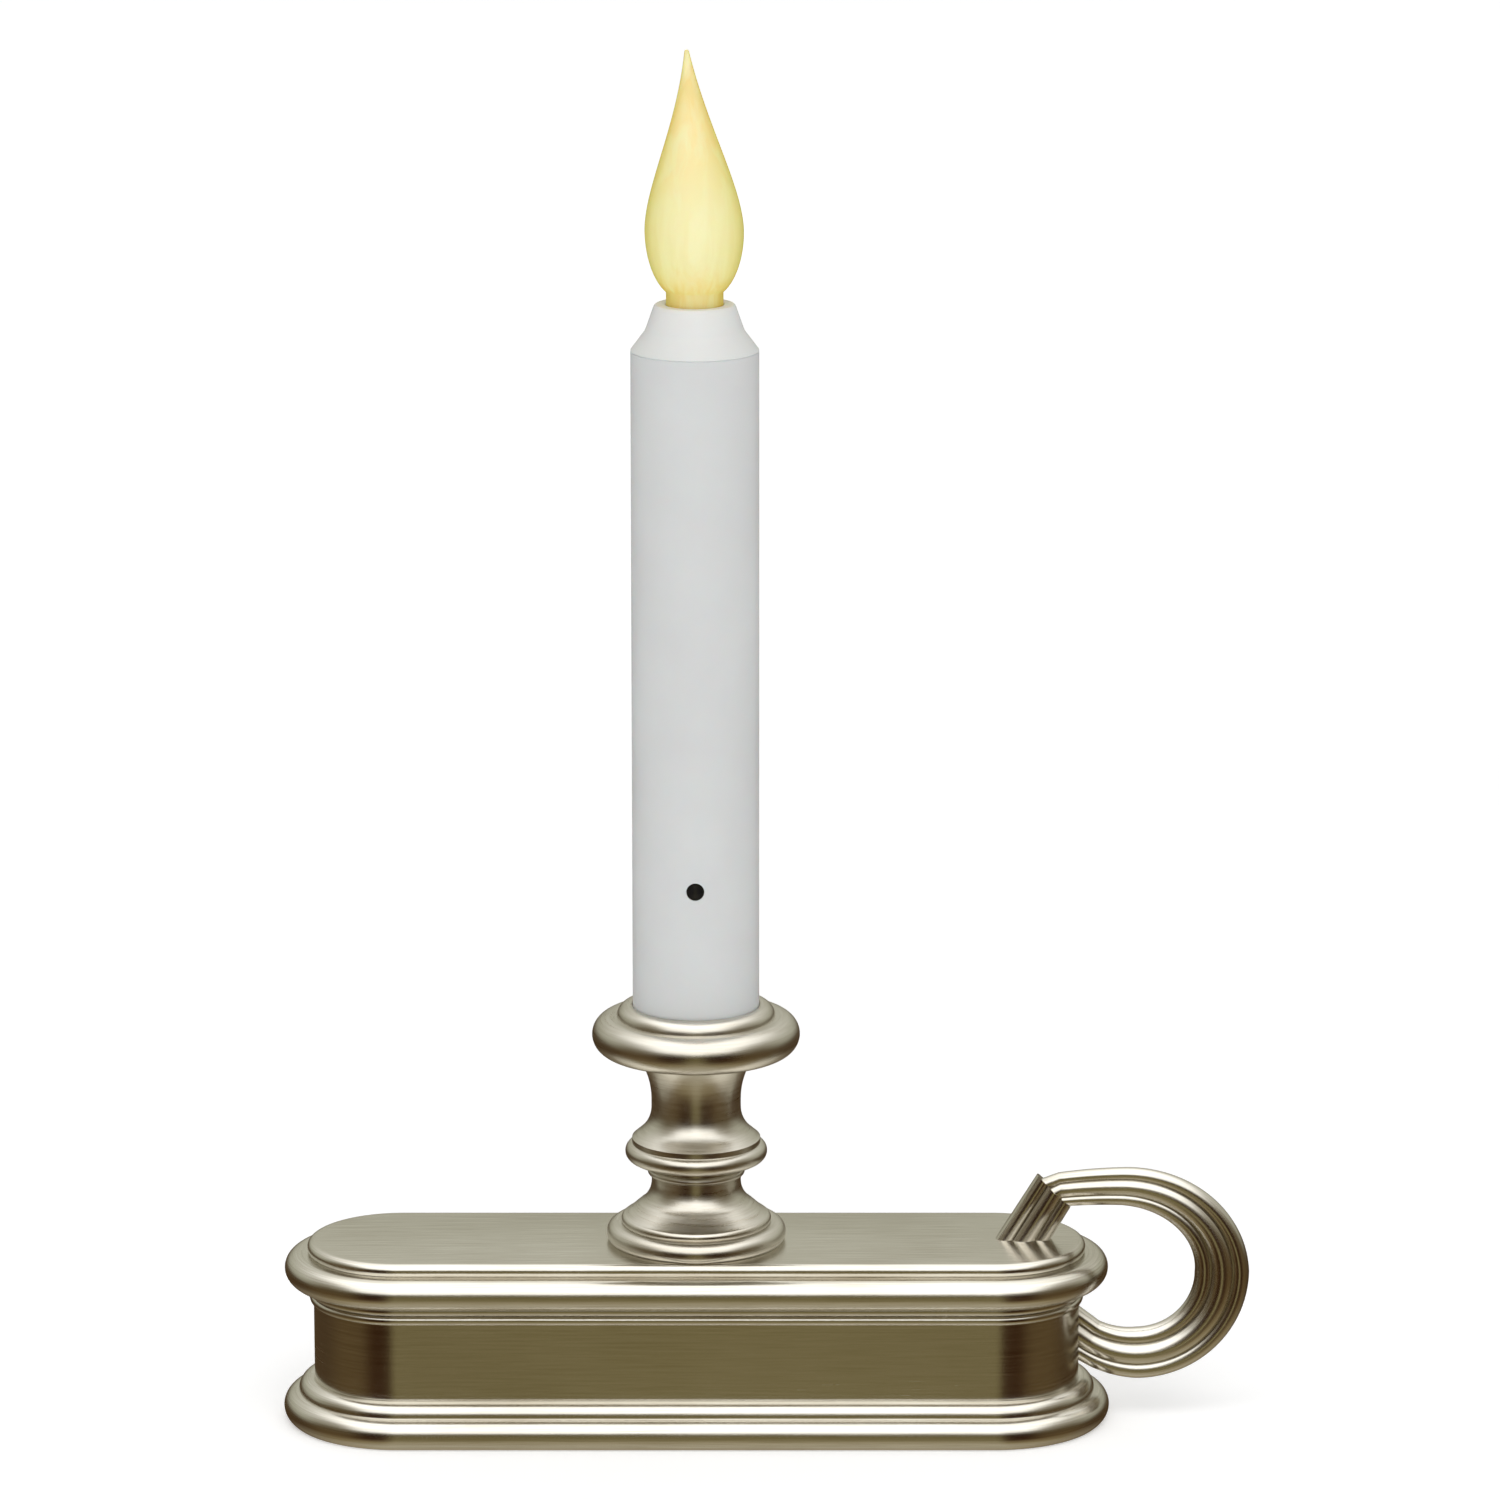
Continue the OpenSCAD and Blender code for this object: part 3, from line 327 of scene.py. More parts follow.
def makePlain(name, colours, roughness, scale=120, metallic=0.0, bump=0.02, detail=4, stretch=(1, 1, 1),
              **sockets):
    mat, nodes, links, bsdf = newMaterial(name)
    where = nodes.new("ShaderNodeTexCoord")
    lay = nodes.new("ShaderNodeMapping")
    lay.inputs["Scale"].default_value = stretch
    links.new(where.outputs["Object"], lay.inputs["Vector"])
    cloud = nodes.new("ShaderNodeTexNoise")
    cloud.inputs["Scale"].default_value = scale
    cloud.inputs["Detail"].default_value = detail
    links.new(lay.outputs[0], cloud.inputs["Vector"])
    links.new(ramp(nodes, links, cloud.outputs["Fac"], [(0.3, colours[0]), (0.7, colours[1])]),
              bsdf.inputs["Base Color"])
    rough = nodes.new("ShaderNodeMapRange")
    rough.inputs["From Min"].default_value = 0.3
    rough.inputs["From Max"].default_value = 0.7
    rough.inputs["To Min"].default_value = roughness[0]
    rough.inputs["To Max"].default_value = roughness[1]
    links.new(cloud.outputs["Fac"], rough.inputs["Value"])
    links.new(rough.outputs[0], bsdf.inputs["Roughness"])
    fine = nodes.new("ShaderNodeTexNoise")
    fine.inputs["Scale"].default_value = scale * 9
    links.new(lay.outputs[0], fine.inputs["Vector"])
    lift = nodes.new("ShaderNodeBump")
    lift.inputs["Strength"].default_value = bump
    lift.inputs["Distance"].default_value = 0.0002
    links.new(fine.outputs["Fac"], lift.inputs["Height"])
    links.new(lift.outputs[0], bsdf.inputs["Normal"])
    bsdf.inputs["Metallic"].default_value = metallic
    for key, value in sockets.items():
        bsdf.inputs[key.replace("_", " ")].default_value = value
    return mat


brushedPewter = makePewter("brushedPewter", pewter, uvMap="grain")
turnedPewter = makePewter("turnedPewter", pewter)
wax = dict(scale=60, bump=0.03, Subsurface_Weight=0.12, Subsurface_Scale=0.002, Specular_IOR_Level=0.35)
candleWhite = makePlain("candleWhite", ((0.645, 0.655, 0.655), (0.675, 0.69, 0.687)), (0.42, 0.52), **wax)
# the shoulder is the tube's white painted lighter: a painted highlight standing in for the overhead light it
# faces
shoulderWhitePaintedLit = makePlain("shoulderWhitePaintedLit", ((0.745, 0.75, 0.74), (0.775, 0.785, 0.77)), (0.42, 0.52), **wax)
print("materials ready")


# shaping

# an arc of an outline: centre from the axis, height, radius, first and last angle
def arc(cx, cz, r, a0, a1, step=7.5):
    count = max(2, math.ceil(abs(a1 - a0) / step))
    turns = [math.radians(a0 + (a1 - a0) * k / count) for k in range(count + 1)]
    return [(cx + r * math.cos(t), cz + r * math.sin(t)) for t in turns]


def lathe(bm, outline, steps=128):
    verts = [bm.verts.new((r * mm, 0, z * mm)) for r, z in outline]
    edges = [bm.edges.new(pair) for pair in zip(verts, verts[1:])]
    bmesh.ops.spin(bm, geom=verts + edges, cent=(0, 0, 0), axis=(0, 0, 1), angle=2 * math.pi,
                   steps=steps, use_merge=True)
    bmesh.ops.remove_doubles(bm, verts=bm.verts, dist=weld)


def finishPiece(bm, name, mat, replaced, body="candle", crease=32):
    bmesh.ops.recalc_face_normals(bm, faces=bm.faces)
    for face in bm.faces:
        face.smooth = True
    mesh = bpy.data.meshes.new(name)
    bm.to_mesh(mesh)
    bm.free()
    mesh.set_sharp_from_angle(angle=math.radians(crease))
    mesh.materials.append(mat)
    piece = bpy.data.objects.new(name, mesh)
    bpy.context.scene.collection.objects.link(piece)
    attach(piece, body)
    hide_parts(replaced)
    return piece


# base

base = {
    "spine": (baseHigh.x - baseHigh.y) / mm,      # half the straight run
    "footInner": 17.13,
    "chamfer": 0.25,
    "bead": (17.75, 2.4, 2.9, -55.85, 85.2),
    "ovolo": (15.6, 5.3, 2.4, 8, 99.6),
    "waist": 15.2,
    "waistLow": 14.5,
    "filletA": (15.0, 22.2, 0.9, -77.2, 77.2),
    "filletB": (15.6, 24.1, 0.9, -90, 62.7),
    "topBead": (17.5, 27.6, 2.7, -90, 90),
    "edge": (14.9, 31.2, 1.3, -43.8, 90),
    "cavity": 13.6,
    "pocket": 3.0,
    "ceiling": 30.7,
    "endSteps": 56,
    "grainRadius": 17.0,       # where the brush lines keep their length round the ends
}


def baseOutline(b):
    outline = [(b["cavity"], b["ceiling"]), (b["cavity"], b["pocket"]), (b["footInner"], b["pocket"]),
               (b["footInner"], b["chamfer"]), (b["footInner"] + b["chamfer"], 0)]
    outline += arc(*b["bead"], 6)
    outline += arc(*b["ovolo"], 9)
    outline += [(b["waist"], b["waistLow"])]
    outline += arc(*b["filletA"], 15)
    outline += arc(*b["filletB"], 15)
    outline += arc(*b["topBead"], 6)
    outline += arc(*b["edge"], 9)
    return outline


def makeBase(b):
    bm = bmesh.new()
    outline = baseOutline(b)
    spine = b["spine"] * mm
    verts = [bm.verts.new((spine, -r * mm, z * mm)) for r, z in outline]
    edges = [bm.edges.new(pair) for pair in zip(verts, verts[1:])]
    geom = verts + edges
    for side in (1, -1):
        turned = bmesh.ops.spin(bm, geom=geom, cent=(side * spine, 0, 0), axis=(0, 0, 1), angle=math.pi,
                                steps=b["endSteps"])["geom_last"]
        run = bmesh.ops.extrude_edge_only(bm, edges=[e for e in turned if isinstance(e, bmesh.types.BMEdge)])
        geom = run["geom"]
        moved = [v for v in geom if isinstance(v, bmesh.types.BMVert)]
        bmesh.ops.translate(bm, verts=moved, vec=(-side * 2 * spine, 0, 0))
        geom = moved + [e for e in geom if isinstance(e, bmesh.types.BMEdge)
                        and all(v in moved for v in e.verts)]
    bmesh.ops.remove_doubles(bm, verts=bm.verts, dist=weld)
    bmesh.ops.holes_fill(bm, edges=[e for e in bm.edges if e.is_boundary], sides=0)
    grainAlong(bm, b["spine"] * mm, b["grainRadius"] * mm)
    return finishPiece(bm, "baseShell", brushedPewter, "base_shell")


def grainAlong(bm, spine, nominal):
    layer = bm.loops.layers.uv.new("grain")
    quarter = nominal * math.pi / 2

    def along(x, y, leftBack):
        if x > spine:
            return spine + quarter + nominal * math.atan2(y, x - spine)
        if x < -spine:
            turn = math.atan2(y, -x - spine)
            if leftBack:
                return 3 * spine + 3 * quarter + nominal * (math.pi / 2 - turn) - quarter
            return -spine - quarter - nominal * turn
        return x if y < 0 else 2 * quarter + 2 * spine - x

    for face in bm.faces:
        face.normal_update()
        middle = face.calc_center_median()
        level = abs(face.normal.z) > 0.995 and len(face.verts) > 4
        for loop in face.loops:
            x, y, z = loop.vert.co
            if level:
                loop[layer].uv = (x, y)
                continue
            out = math.hypot(max(abs(x) - spine, 0), y)
            side = y if abs(y) > 1e-7 else middle.y * 1e-3
            loop[layer].uv = (along(x, side, middle.y > 0), z - 0.7 * out)


makeBase(base)
print("base ready")


# stem and cup

stem = {
    "bore": 3.5,
    "footBead": (13.8, 1.4, 1.9, -47.5, 90),
    "ring": (12.2, 3.8, 0.9, -33.8, 82),
    "cove": (12.6, 10.8, 4.8, -123, -180),
    "neck": 7.8,
    "thinRing": (7.8, 12.55, 0.7, -90, 90),
    "midBead": (10.8, 16.15, 1.6, -90, 75.5),
    "flare": (13.6, 24.2, 5.8, -128, -180),
    "flareLip": (11.2, 18.62),
    "topFlare": (21.8, 25.5, 14.0, 180, 142.6),
    "top": 34.0,
}


def makeStem(s):
    outline = [(s["bore"], 0)]
    outline += arc(*s["footBead"], 8)
    outline += arc(*s["ring"], 12)
    outline += arc(*s["cove"], 6)
    outline += arc(*s["thinRing"], 15)
    outline += [(s["neck"], s["midBead"][1] - s["midBead"][2])]
    outline += arc(*s["midBead"], 9)
    outline += [s["flareLip"]]
    outline += arc(*s["flare"], 6)
    outline += arc(*s["topFlare"], 3)
    outline += [(s["bore"], s["top"]), (s["bore"], 0)]
    foot = stemLow.z / mm
    bm = bmesh.new()
    lathe(bm, [(r, z + foot) for r, z in outline])
    return finishPiece(bm, "stem", turnedPewter, "stem")


cup = {
    "bore": 3.5,
    "spigot": 6.0,
    "spigotDrop": 5.5,
    "ring": (14.8, 3.3, 3.3, -90, 90),
    "collar": (11.6, 6.5, 2.2, 2.6, 90),
    "seat": 11.05,
    "chamfer": 0.15,
    "floor": 2.0,
}


def makeCup(c):
    outline = [(c["bore"], c["floor"]), (c["bore"], -c["spigotDrop"]), (c["spigot"], -c["spigotDrop"]),
               (c["spigot"], 0)]
    outline += arc(*c["ring"], 6)
    outline += arc(*c["collar"], 8)
    top = c["collar"][1] + c["collar"][2]
    outline += [(c["seat"] + c["chamfer"], top), (c["seat"], top - c["chamfer"])]
    outline += [(c["seat"], c["floor"]), (c["bore"], c["floor"])]
    foot = stemHigh.z / mm
    bm = bmesh.new()
    lathe(bm, [(r, z + foot) for r, z in outline], 160)
    return finishPiece(bm, "dripCup", turnedPewter, "drip_cup")


makeStem(stem)
makeCup(cup)
print("stem and cup ready")


# candle tube, shoulder and sensor window

tube = {
    "outer": 11.0,
    "inner": 9.7,
    "edge": 0.25,
    "sensorUp": 29.5,
    "sensorRadius": 1.55,
}


def cutWith(piece, cutter):
    cut = piece.modifiers.new("cut", "BOOLEAN")
    cut.operation = "DIFFERENCE"
    cut.solver = "EXACT"
    cut.object = cutter
    bpy.context.view_layer.update()
    graph = bpy.context.evaluated_depsgraph_get()
    done = bpy.data.meshes.new_from_object(piece.evaluated_get(graph))
    piece.modifiers.clear()
    old = piece.data
    piece.data = done
    bpy.data.meshes.remove(old)
    bpy.data.objects.remove(cutter)


def makeTube(t):
    low, high = tubeLow.z / mm, tubeHigh.z / mm
    e = t["edge"]
    outline = [(t["inner"], low), (t["outer"] - e, low), (t["outer"], low + e)]
    outline += [(t["outer"], low + (high - low) * k / 12) for k in range(1, 12)]
    outline += [(t["outer"], high - e * 0.6), (t["outer"] - e * 0.6, high)]
    outline += [(t["inner"], high), (t["inner"], low)]
    bm = bmesh.new()
    lathe(bm, outline, 160)
    piece = finishPiece(bm, "candleTube", candleWhite, "candle_tube")
    bm = bmesh.new()
    bmesh.ops.create_cone(bm, cap_ends=True, segments=48, radius1=t["sensorRadius"] * mm,
                          radius2=t["sensorRadius"] * mm, depth=t["outer"] * mm)
    bmesh.ops.rotate(bm, verts=bm.verts, matrix=Matrix.Rotation(math.pi / 2, 3, "X"))
    bmesh.ops.translate(bm, verts=bm.verts, vec=(0, -t["outer"] * mm, tubeLow.z + t["sensorUp"] * mm))
    mesh = bpy.data.meshes.new("cutter")
    bm.to_mesh(mesh)
    bm.free()
    cutter = bpy.data.objects.new("cutter", mesh)
    bpy.context.scene.collection.objects.link(cutter)
    cutWith(piece, cutter)
    piece.data.set_sharp_from_angle(angle=math.radians(32))
    return piece


shoulder = {
    "plug": 9.65,
    "plugDrop": 8.0,
    "low": 11.0,
    "seamGap": 0.12,
    "bend": ((8.62, 3.3), (8.37, 3.85)),       # each corner is eased by two points
    "rim": ((7.25, 7.06), (7.15, 7.36)),
    "lip": ((6.95, 7.8), (6.7, 8.0)),
    "top": 8.0,
    "bore": 4.97,
    "soft": 0.15,
    "plate": 6.5,
    "ledge": 6.6,
    "ledgeUp": 2.9,
    "well": 7.2,
}


def makeShoulder(s):
    seam = tubeHigh.z / mm
    top, soft = s["top"], s["soft"]
    outline = [(s["bore"], top - soft), (s["bore"], top - s["plate"]), (s["ledge"], top - s["plate"]),
               (s["ledge"], -s["ledgeUp"]), (s["well"], -s["ledgeUp"]), (s["well"], -s["plugDrop"]),
               (s["plug"], -s["plugDrop"]), (s["plug"], 0), (s["low"] - s["seamGap"], 0),
               (s["low"], s["seamGap"])]
    outline += [*s["bend"], *s["rim"], *s["lip"], (s["bore"] + soft, top), (s["bore"], top - soft)]
    bm = bmesh.new()
    lathe(bm, [(r, z + seam) for r, z in outline], 128)
    return finishPiece(bm, "tubeCap", shoulderWhitePaintedLit, "tube_cap")


window = {
    "radius": 1.5,
    "rim": 0.22,
    "slope": 0.06,
    "back": 1.3,
    "sink": 0.12,
    "crown": 0.16,
    "crownRings": (0.5, 0.35),
    "setBack": 0.12,           # from the face of the tube
}


def makeWindow(w):
    bm = bmesh.new()
    bmesh.ops.create_circle(bm, cap_ends=True, segments=48, radius=w["radius"] * mm)
    walls = bmesh.ops.extrude_face_region(bm, geom=bm.faces[:])
    raised = [v for v in walls["geom"] if isinstance(v, bmesh.types.BMVert)]
    bmesh.ops.translate(bm, verts=raised, vec=(0, 0, w["back"] * mm))
    top = [f for f in walls["geom"] if isinstance(f, bmesh.types.BMFace)]
    bmesh.ops.inset_individual(bm, faces=top, thickness=w["rim"] * mm, depth=0)
    bmesh.ops.inset_individual(bm, faces=top, thickness=w["slope"] * mm, depth=-w["sink"] * mm)
    for step in w["crownRings"]:
        bmesh.ops.inset_individual(bm, faces=top, thickness=step * mm, depth=w["crown"] * 0.5 * mm)
    bmesh.ops.rotate(bm, verts=bm.verts, matrix=Matrix.Rotation(math.pi / 2, 3, "X"))
    face = -(tube["outer"] - w["setBack"]) * mm
    bmesh.ops.translate(bm, verts=bm.verts,
                        vec=(0, face + w["back"] * mm, tubeLow.z + tube["sensorUp"] * mm))
    return finishPiece(bm, "sensorWindow", windowBlack, "sensor_window")


windowBlack = makePlain("windowBlack", (grey(0.006), grey(0.012)), (0.12, 0.22), scale=500)
makeTube(tube)
makeShoulder(shoulder)
makeWindow(window)
print("candle ready")


# flame bulb

flame = {
    "neck": 4.9,
    "height": 41.4,
    "wide": 8.45,
    "lowShare": 0.25,
    "lean": 1.3,
    "leanPower": 2.2,
    "bore": 2.85,
    "boreTop": -3.0,           # from the neck's end
    "lug": (5.7, 2.2, 1.5),
    "lugUp": 0.3,
}


def cubic(a, b, c, d, t):
    s = 1 - t
    return tuple(s ** 3 * a[k] + 3 * t * s * s * b[k] + 3 * t * t * s * c[k] + t ** 3 * d[k] for k in (0, 1))


def flameOutline(f):
    low = f["height"] * f["lowShare"]
    wide, tall = f["wide"], f["height"]
    curve = [cubic((f["neck"], 0), (f["neck"] + 2.3, 2), (wide, low - 4), (wide, low), k / 14)
             for k in range(15)]
    curve += [cubic((wide, low), (wide, tall * 0.43), (2.6, tall * 0.68), (0.4, tall - 0.25), k / 40)
              for k in range(1, 41)]
    foot = flameLow.z / mm
    tip = flameHigh.z / mm
    neckTop = tip - tall
    boreTop = neckTop + f["boreTop"]
    outline = [(0, boreTop), (f["bore"], boreTop), (f["bore"], foot), (f["neck"] - 0.2, foot)]
    outline += [(f["neck"], foot + 0.2)] + [(r, z + neckTop) for r, z in curve]
    return outline + [(0.22, tip - 0.06), (0, tip)]


def makeFlame(f):
    bm = bmesh.new()
    lathe(bm, flameOutline(f), 96)
    for vert in bm.verts:
        rise = 1 - (flameHigh.z - vert.co.z) / mm / f["height"]
        if rise > 0:
            vert.co.x -= f["lean"] * mm * rise ** f["leanPower"]
    reach, wide, tall = (v * mm for v in f["lug"])
    for side in (-1, 1):
        lug = bmesh.ops.create_cube(bm, size=1)["verts"]
        bmesh.ops.scale(bm, verts=lug, vec=(wide, 1.2 * mm, tall))
        middle = flameLow.z + f["lugUp"] * mm + tall / 2
        bmesh.ops.translate(bm, verts=lug, vec=(0, side * (reach - 0.6 * mm), middle))
    return finishPiece(bm, "flameBulb", flameGlow, "flame_bulb", body="bulb", crease=50)


def makeFlameGlow():
    mat, nodes, links, bsdf = newMaterial("flameGlow")
    where = nodes.new("ShaderNodeTexCoord")
    split = nodes.new("ShaderNodeSeparateXYZ")
    links.new(where.outputs["Object"], split.inputs[0])
    rise = nodes.new("ShaderNodeMapRange")
    rise.inputs["From Min"].default_value = flameLow.z
    rise.inputs["From Max"].default_value = flameHigh.z
    links.new(split.outputs["Z"], rise.inputs["Value"])
    lay = nodes.new("ShaderNodeMapping")
    lay.inputs["Scale"].default_value = (420, 420, 62)
    links.new(where.outputs["Object"], lay.inputs["Vector"])
    wisp = nodes.new("ShaderNodeTexNoise")
    wisp.inputs["Scale"].default_value = 1
    wisp.inputs["Detail"].default_value = 3
    wisp.inputs["Distortion"].default_value = 0.6
    links.new(lay.outputs[0], wisp.inputs["Vector"])
    body = ramp(nodes, links, rise.outputs[0], [
        (0.0, (0.88, 0.73, 0.50)), (0.22, (0.89, 0.76, 0.54)), (0.32, (0.86, 0.84, 0.76)),
        (0.5, (0.88, 0.86, 0.80)), (0.75, (0.91, 0.78, 0.62)), (1.0, (0.80, 0.68, 0.46))])
    pale = node(nodes, "ShaderNodeMix", data_type="RGBA")
    pale.inputs["B"].default_value = (0.89, 0.90, 0.90, 1)
    share = ramp(nodes, links, wisp.outputs["Fac"], [(0.42, grey(0)), (0.66, grey(0.75))])
    links.new(share, pale.inputs["Factor"])
    links.new(body, pale.inputs["A"])
    links.new(pale.outputs["Result"], bsdf.inputs["Base Color"])
    links.new(pale.outputs["Result"], bsdf.inputs["Emission Color"])
    bsdf.inputs["Emission Strength"].default_value = 0.18
    bsdf.inputs["Roughness"].default_value = 0.45
    bsdf.inputs["Specular IOR Level"].default_value = 0.25
    bsdf.inputs["Coat Weight"].default_value = 1      # a thick clear skin, yellower where it is seen aslant
    bsdf.inputs["Coat Roughness"].default_value = 0.5
    bsdf.inputs["Coat IOR"].default_value = 1.1
    bsdf.inputs["Coat Tint"].default_value = (0.885, 0.845, 0.49, 1)
    bsdf.inputs["Subsurface Weight"].default_value = 0.3
    bsdf.inputs["Subsurface Scale"].default_value = 0.003
    lift = nodes.new("ShaderNodeBump")
    lift.inputs["Strength"].default_value = 0.08
    lift.inputs["Distance"].default_value = 0.0004
    links.new(wisp.outputs["Fac"], lift.inputs["Height"])
    links.new(lift.outputs[0], bsdf.inputs["Normal"])
    return mat


flameGlow = makeFlameGlow()
makeFlame(flame)
print("flame ready")


# handle

handle = {
    "thick": 9.6,
    "inside": 0.03,            # kept within the drawn outline
    "depth": 0.58,
    "seat": 66.9,
    "loopLow": 11.5,
    "loopR": 14.9,
    "loopTop": 42.0,
    "topX": 74.3,
    "mitre": (62.6, 41.25),
    "mitreTurn": 134.5,
    "leg": (57.3, 32.5),
    "legSlope": 57.0,
    "rootTurn": 39.0,
    "root": 0.83,
    "low": 0.97,
    "top": 0.71,
    "mitreShare": 0.64,
    "legShare": 0.85,
    "midReed": 0.25,
    "sideReed": 0.18,
    "mitreStep": 1.2,          # the leg's end stands out past the loop
    "girth": 30.0,             # round the section, for the brush lines
}


def reedSection(h):
    # a broad round reed between two narrow ones, as shares of the thickness
    wide, narrow = h["midReed"], h["sideReed"]
    step = 0.5 - narrow
    cross = (step ** 2 + wide ** 2 - narrow ** 2) / 2 / step
    inner = math.degrees(math.acos(cross / wide))
    outer = 180 - math.degrees(math.acos((step - cross) / narrow))

    def run(at, r, a0, a1, count):
        turns = [math.radians(a0 + (a1 - a0) * k / count) for k in range(count)]
        return [(at + r * math.cos(t), r * math.sin(t)) for t in turns]

    return (run(step, narrow, -outer, outer, 18) + run(0, wide, inner, 180 - inner, 14)
            + run(-step, narrow, 180 - outer, 180 + outer, 18) + run(0, wide, 180 + inner, 360 - inner, 14))


def handleRings(h):
    t = h["thick"]
    root, low, top, mitre, leg = (t * h[k] for k in ("root", "low", "top", "mitreShare", "legShare"))
    turn = h["rootTurn"]
    outer = handleHigh.x / mm - t / 2 - h["inside"]
    loopX = outer - h["loopR"]
    r = (loopX - h["seat"]) / math.sin(math.radians(turn))
    mid = h["loopLow"] + h["loopR"]

    def quarter(cx, cz, rx, rz, a0, a1, t0, t1, count):
        rings = []
        for k in range(count):
            s = k / count
            a = math.radians(a0 + (a1 - a0) * s)
            out = math.degrees(math.atan2(rx * math.sin(a), rz * math.cos(a)))
            width = t0 + (t1 - t0) * s
            rings.append((cx + rx * math.cos(a), cz + rz * math.sin(a), out, width, width))
        return rings

    first = h["loopLow"] + r * (1 - math.cos(math.radians(turn)))
    rings = [(h["seat"], first, -90, root / math.cos(math.radians(turn)), root)]
    rings += quarter(loopX, h["loopLow"] + r, r, r, -90 - turn * 0.8, -90, root, low, 14)
    rings += quarter(loopX, mid, h["loopR"], h["loopR"], -90, 0, low, t, 30)
    rings += quarter(h["topX"], mid, outer - h["topX"], h["loopTop"] - mid, 0, 90, t, top, 34)
    mx, mz = h["mitre"]
    fall = 2 * math.degrees(math.atan((h["loopTop"] - mz) / (h["topX"] - mx)))
    for k in range(10):
        s = k / 10
        width = top + (mitre - top) * s
        rings.append((h["topX"] + (mx - h["topX"]) * s, h["loopTop"] + (mz - h["loopTop"]) * s * s,
                      90 + fall * s, width, width))
    turn, wide, back = h["mitreTurn"], leg * 1.03, h["mitreStep"] / 2
    rings.append((mx - back * math.cos(math.radians(turn)), mz - back * math.sin(math.radians(turn)),
                  turn, wide - 2 * back, mitre))
    rings.append((mx, mz, turn, wide, leg * 0.85))
    lx, lz = h["leg"]
    rings.append((lx, lz, 180, leg / math.sin(math.radians(h["legSlope"])), leg))
    return rings


def makeHandle(h):
    bm = bmesh.new()
    section = reedSection(h)
    rings = handleRings(h)
    deep = h["depth"] / 2 / h["midReed"]
    girth = h["girth"] * mm

    def place(verts, ring):
        x, z, turn, wide, thick = ring
        turn = math.radians(turn)
        for vert, (across, out) in zip(verts, section):
            vert.co = Vector((x + wide * across * math.cos(turn), thick * deep * out,
                              z + wide * across * math.sin(turn))) * mm

    verts = [bm.verts.new((0, 0, 0)) for _ in section]
    edges = [bm.edges.new((verts[k - 1], verts[k])) for k in range(len(verts))]
    place(verts, rings[0])
    layer = bm.loops.layers.uv.new("grain")
    bmesh.ops.edgeloop_fill(bm, edges=edges)
    length = 0.0
    for before, ring in zip(rings, rings[1:]):
        grown = bmesh.ops.extrude_edge_only(bm, edges=edges)["geom"]
        faces = [f for f in grown if isinstance(f, bmesh.types.BMFace)]
        link = {}
        for face in faces:
            for edge in face.edges:
                a, b = edge.verts
                if (a in verts) != (b in verts):
                    old, new = (a, b) if a in verts else (b, a)
                    link[old] = new
        start = length
        length += math.dist(before[:2], ring[:2]) * mm
        ahead = [link[v] for v in verts]
        place(ahead, ring)
        around = {v: k / len(section) * girth for k, v in enumerate(ahead)}
        around.update({v: k / len(section) * girth for k, v in enumerate(verts)})
        wrap = {verts[0], ahead[0]}
        for face in faces:
            high = any(around[v] > girth * 5 / 6 for v in face.verts)
            for loop in face.loops:
                v = loop.vert
                u = start if v in verts else length
                loop[layer].uv = (u, girth if v in wrap and high else around[v])
        edges = [bm.edges.get((ahead[k - 1], ahead[k])) for k in range(len(ahead))]
        verts = ahead
    bmesh.ops.edgeloop_fill(bm, edges=edges)
    return finishPiece(bm, "handle", brushedPewter, "handle", crease=40)


makeHandle(handle)
print("handle ready")


# finishes of the pieces inside and underneath

def cellJacket():
    mat, nodes, links, bsdf = newMaterial("cellJacket")
    where = nodes.new("ShaderNodeTexCoord")
    split = nodes.new("ShaderNodeSeparateXYZ")
    links.new(where.outputs["Object"], split.inputs[0])
    low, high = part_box("battery_left")
    step = high.x - low.x
    share = node(nodes, "ShaderNodeMath", operation="SUBTRACT")
    share.inputs[1].default_value = low.x
    links.new(split.outputs["X"], share.inputs[0])
    part = node(nodes, "ShaderNodeMath", operation="DIVIDE")
    part.inputs[1].default_value = step
    links.new(share.outputs[0], part.inputs[0])
    wrap = node(nodes, "ShaderNodeMath", operation="FRACT")
    links.new(part.outputs[0], wrap.inputs[0])
    bands = ramp(nodes, links, wrap.outputs[0], [
        (0.0, (0.62, 0.60, 0.56)), (0.03, (0.62, 0.60, 0.56)), (0.035, (0.025, 0.025, 0.028)),
        (0.70, (0.03, 0.03, 0.032)), (0.71, (0.55, 0.33, 0.12)), (0.955, (0.60, 0.37, 0.14)),
        (0.965, (0.70, 0.68, 0.64)), (1.0, (0.72, 0.70, 0.66))])
    cloud = nodes.new("ShaderNodeTexNoise")
    cloud.inputs["Scale"].default_value = 160
    links.new(where.outputs["Object"], cloud.inputs["Vector"])
    worn = node(nodes, "ShaderNodeMix", data_type="RGBA", blend_type="MULTIPLY")
    worn.inputs["Factor"].default_value = 0.5
    links.new(bands, worn.inputs["A"])
    wear = ramp(nodes, links, cloud.outputs["Fac"], [(0.3, grey(0.8)), (0.7, grey(1.0))])
    links.new(wear, worn.inputs["B"])
    links.new(worn.outputs["Result"], bsdf.inputs["Base Color"])
    rough = nodes.new("ShaderNodeMapRange")
    rough.inputs["To Min"].default_value = 0.22
    rough.inputs["To Max"].default_value = 0.36
    links.new(cloud.outputs["Fac"], rough.inputs["Value"])
    links.new(rough.outputs[0], bsdf.inputs["Roughness"])
    bsdf.inputs["Metallic"].default_value = 0.6
    lift = nodes.new("ShaderNodeBump")
    lift.inputs["Strength"].default_value = 0.05
    lift.inputs["Distance"].default_value = 0.0002
    links.new(cloud.outputs["Fac"], lift.inputs["Height"])
    links.new(lift.outputs[0], bsdf.inputs["Normal"])
    return mat


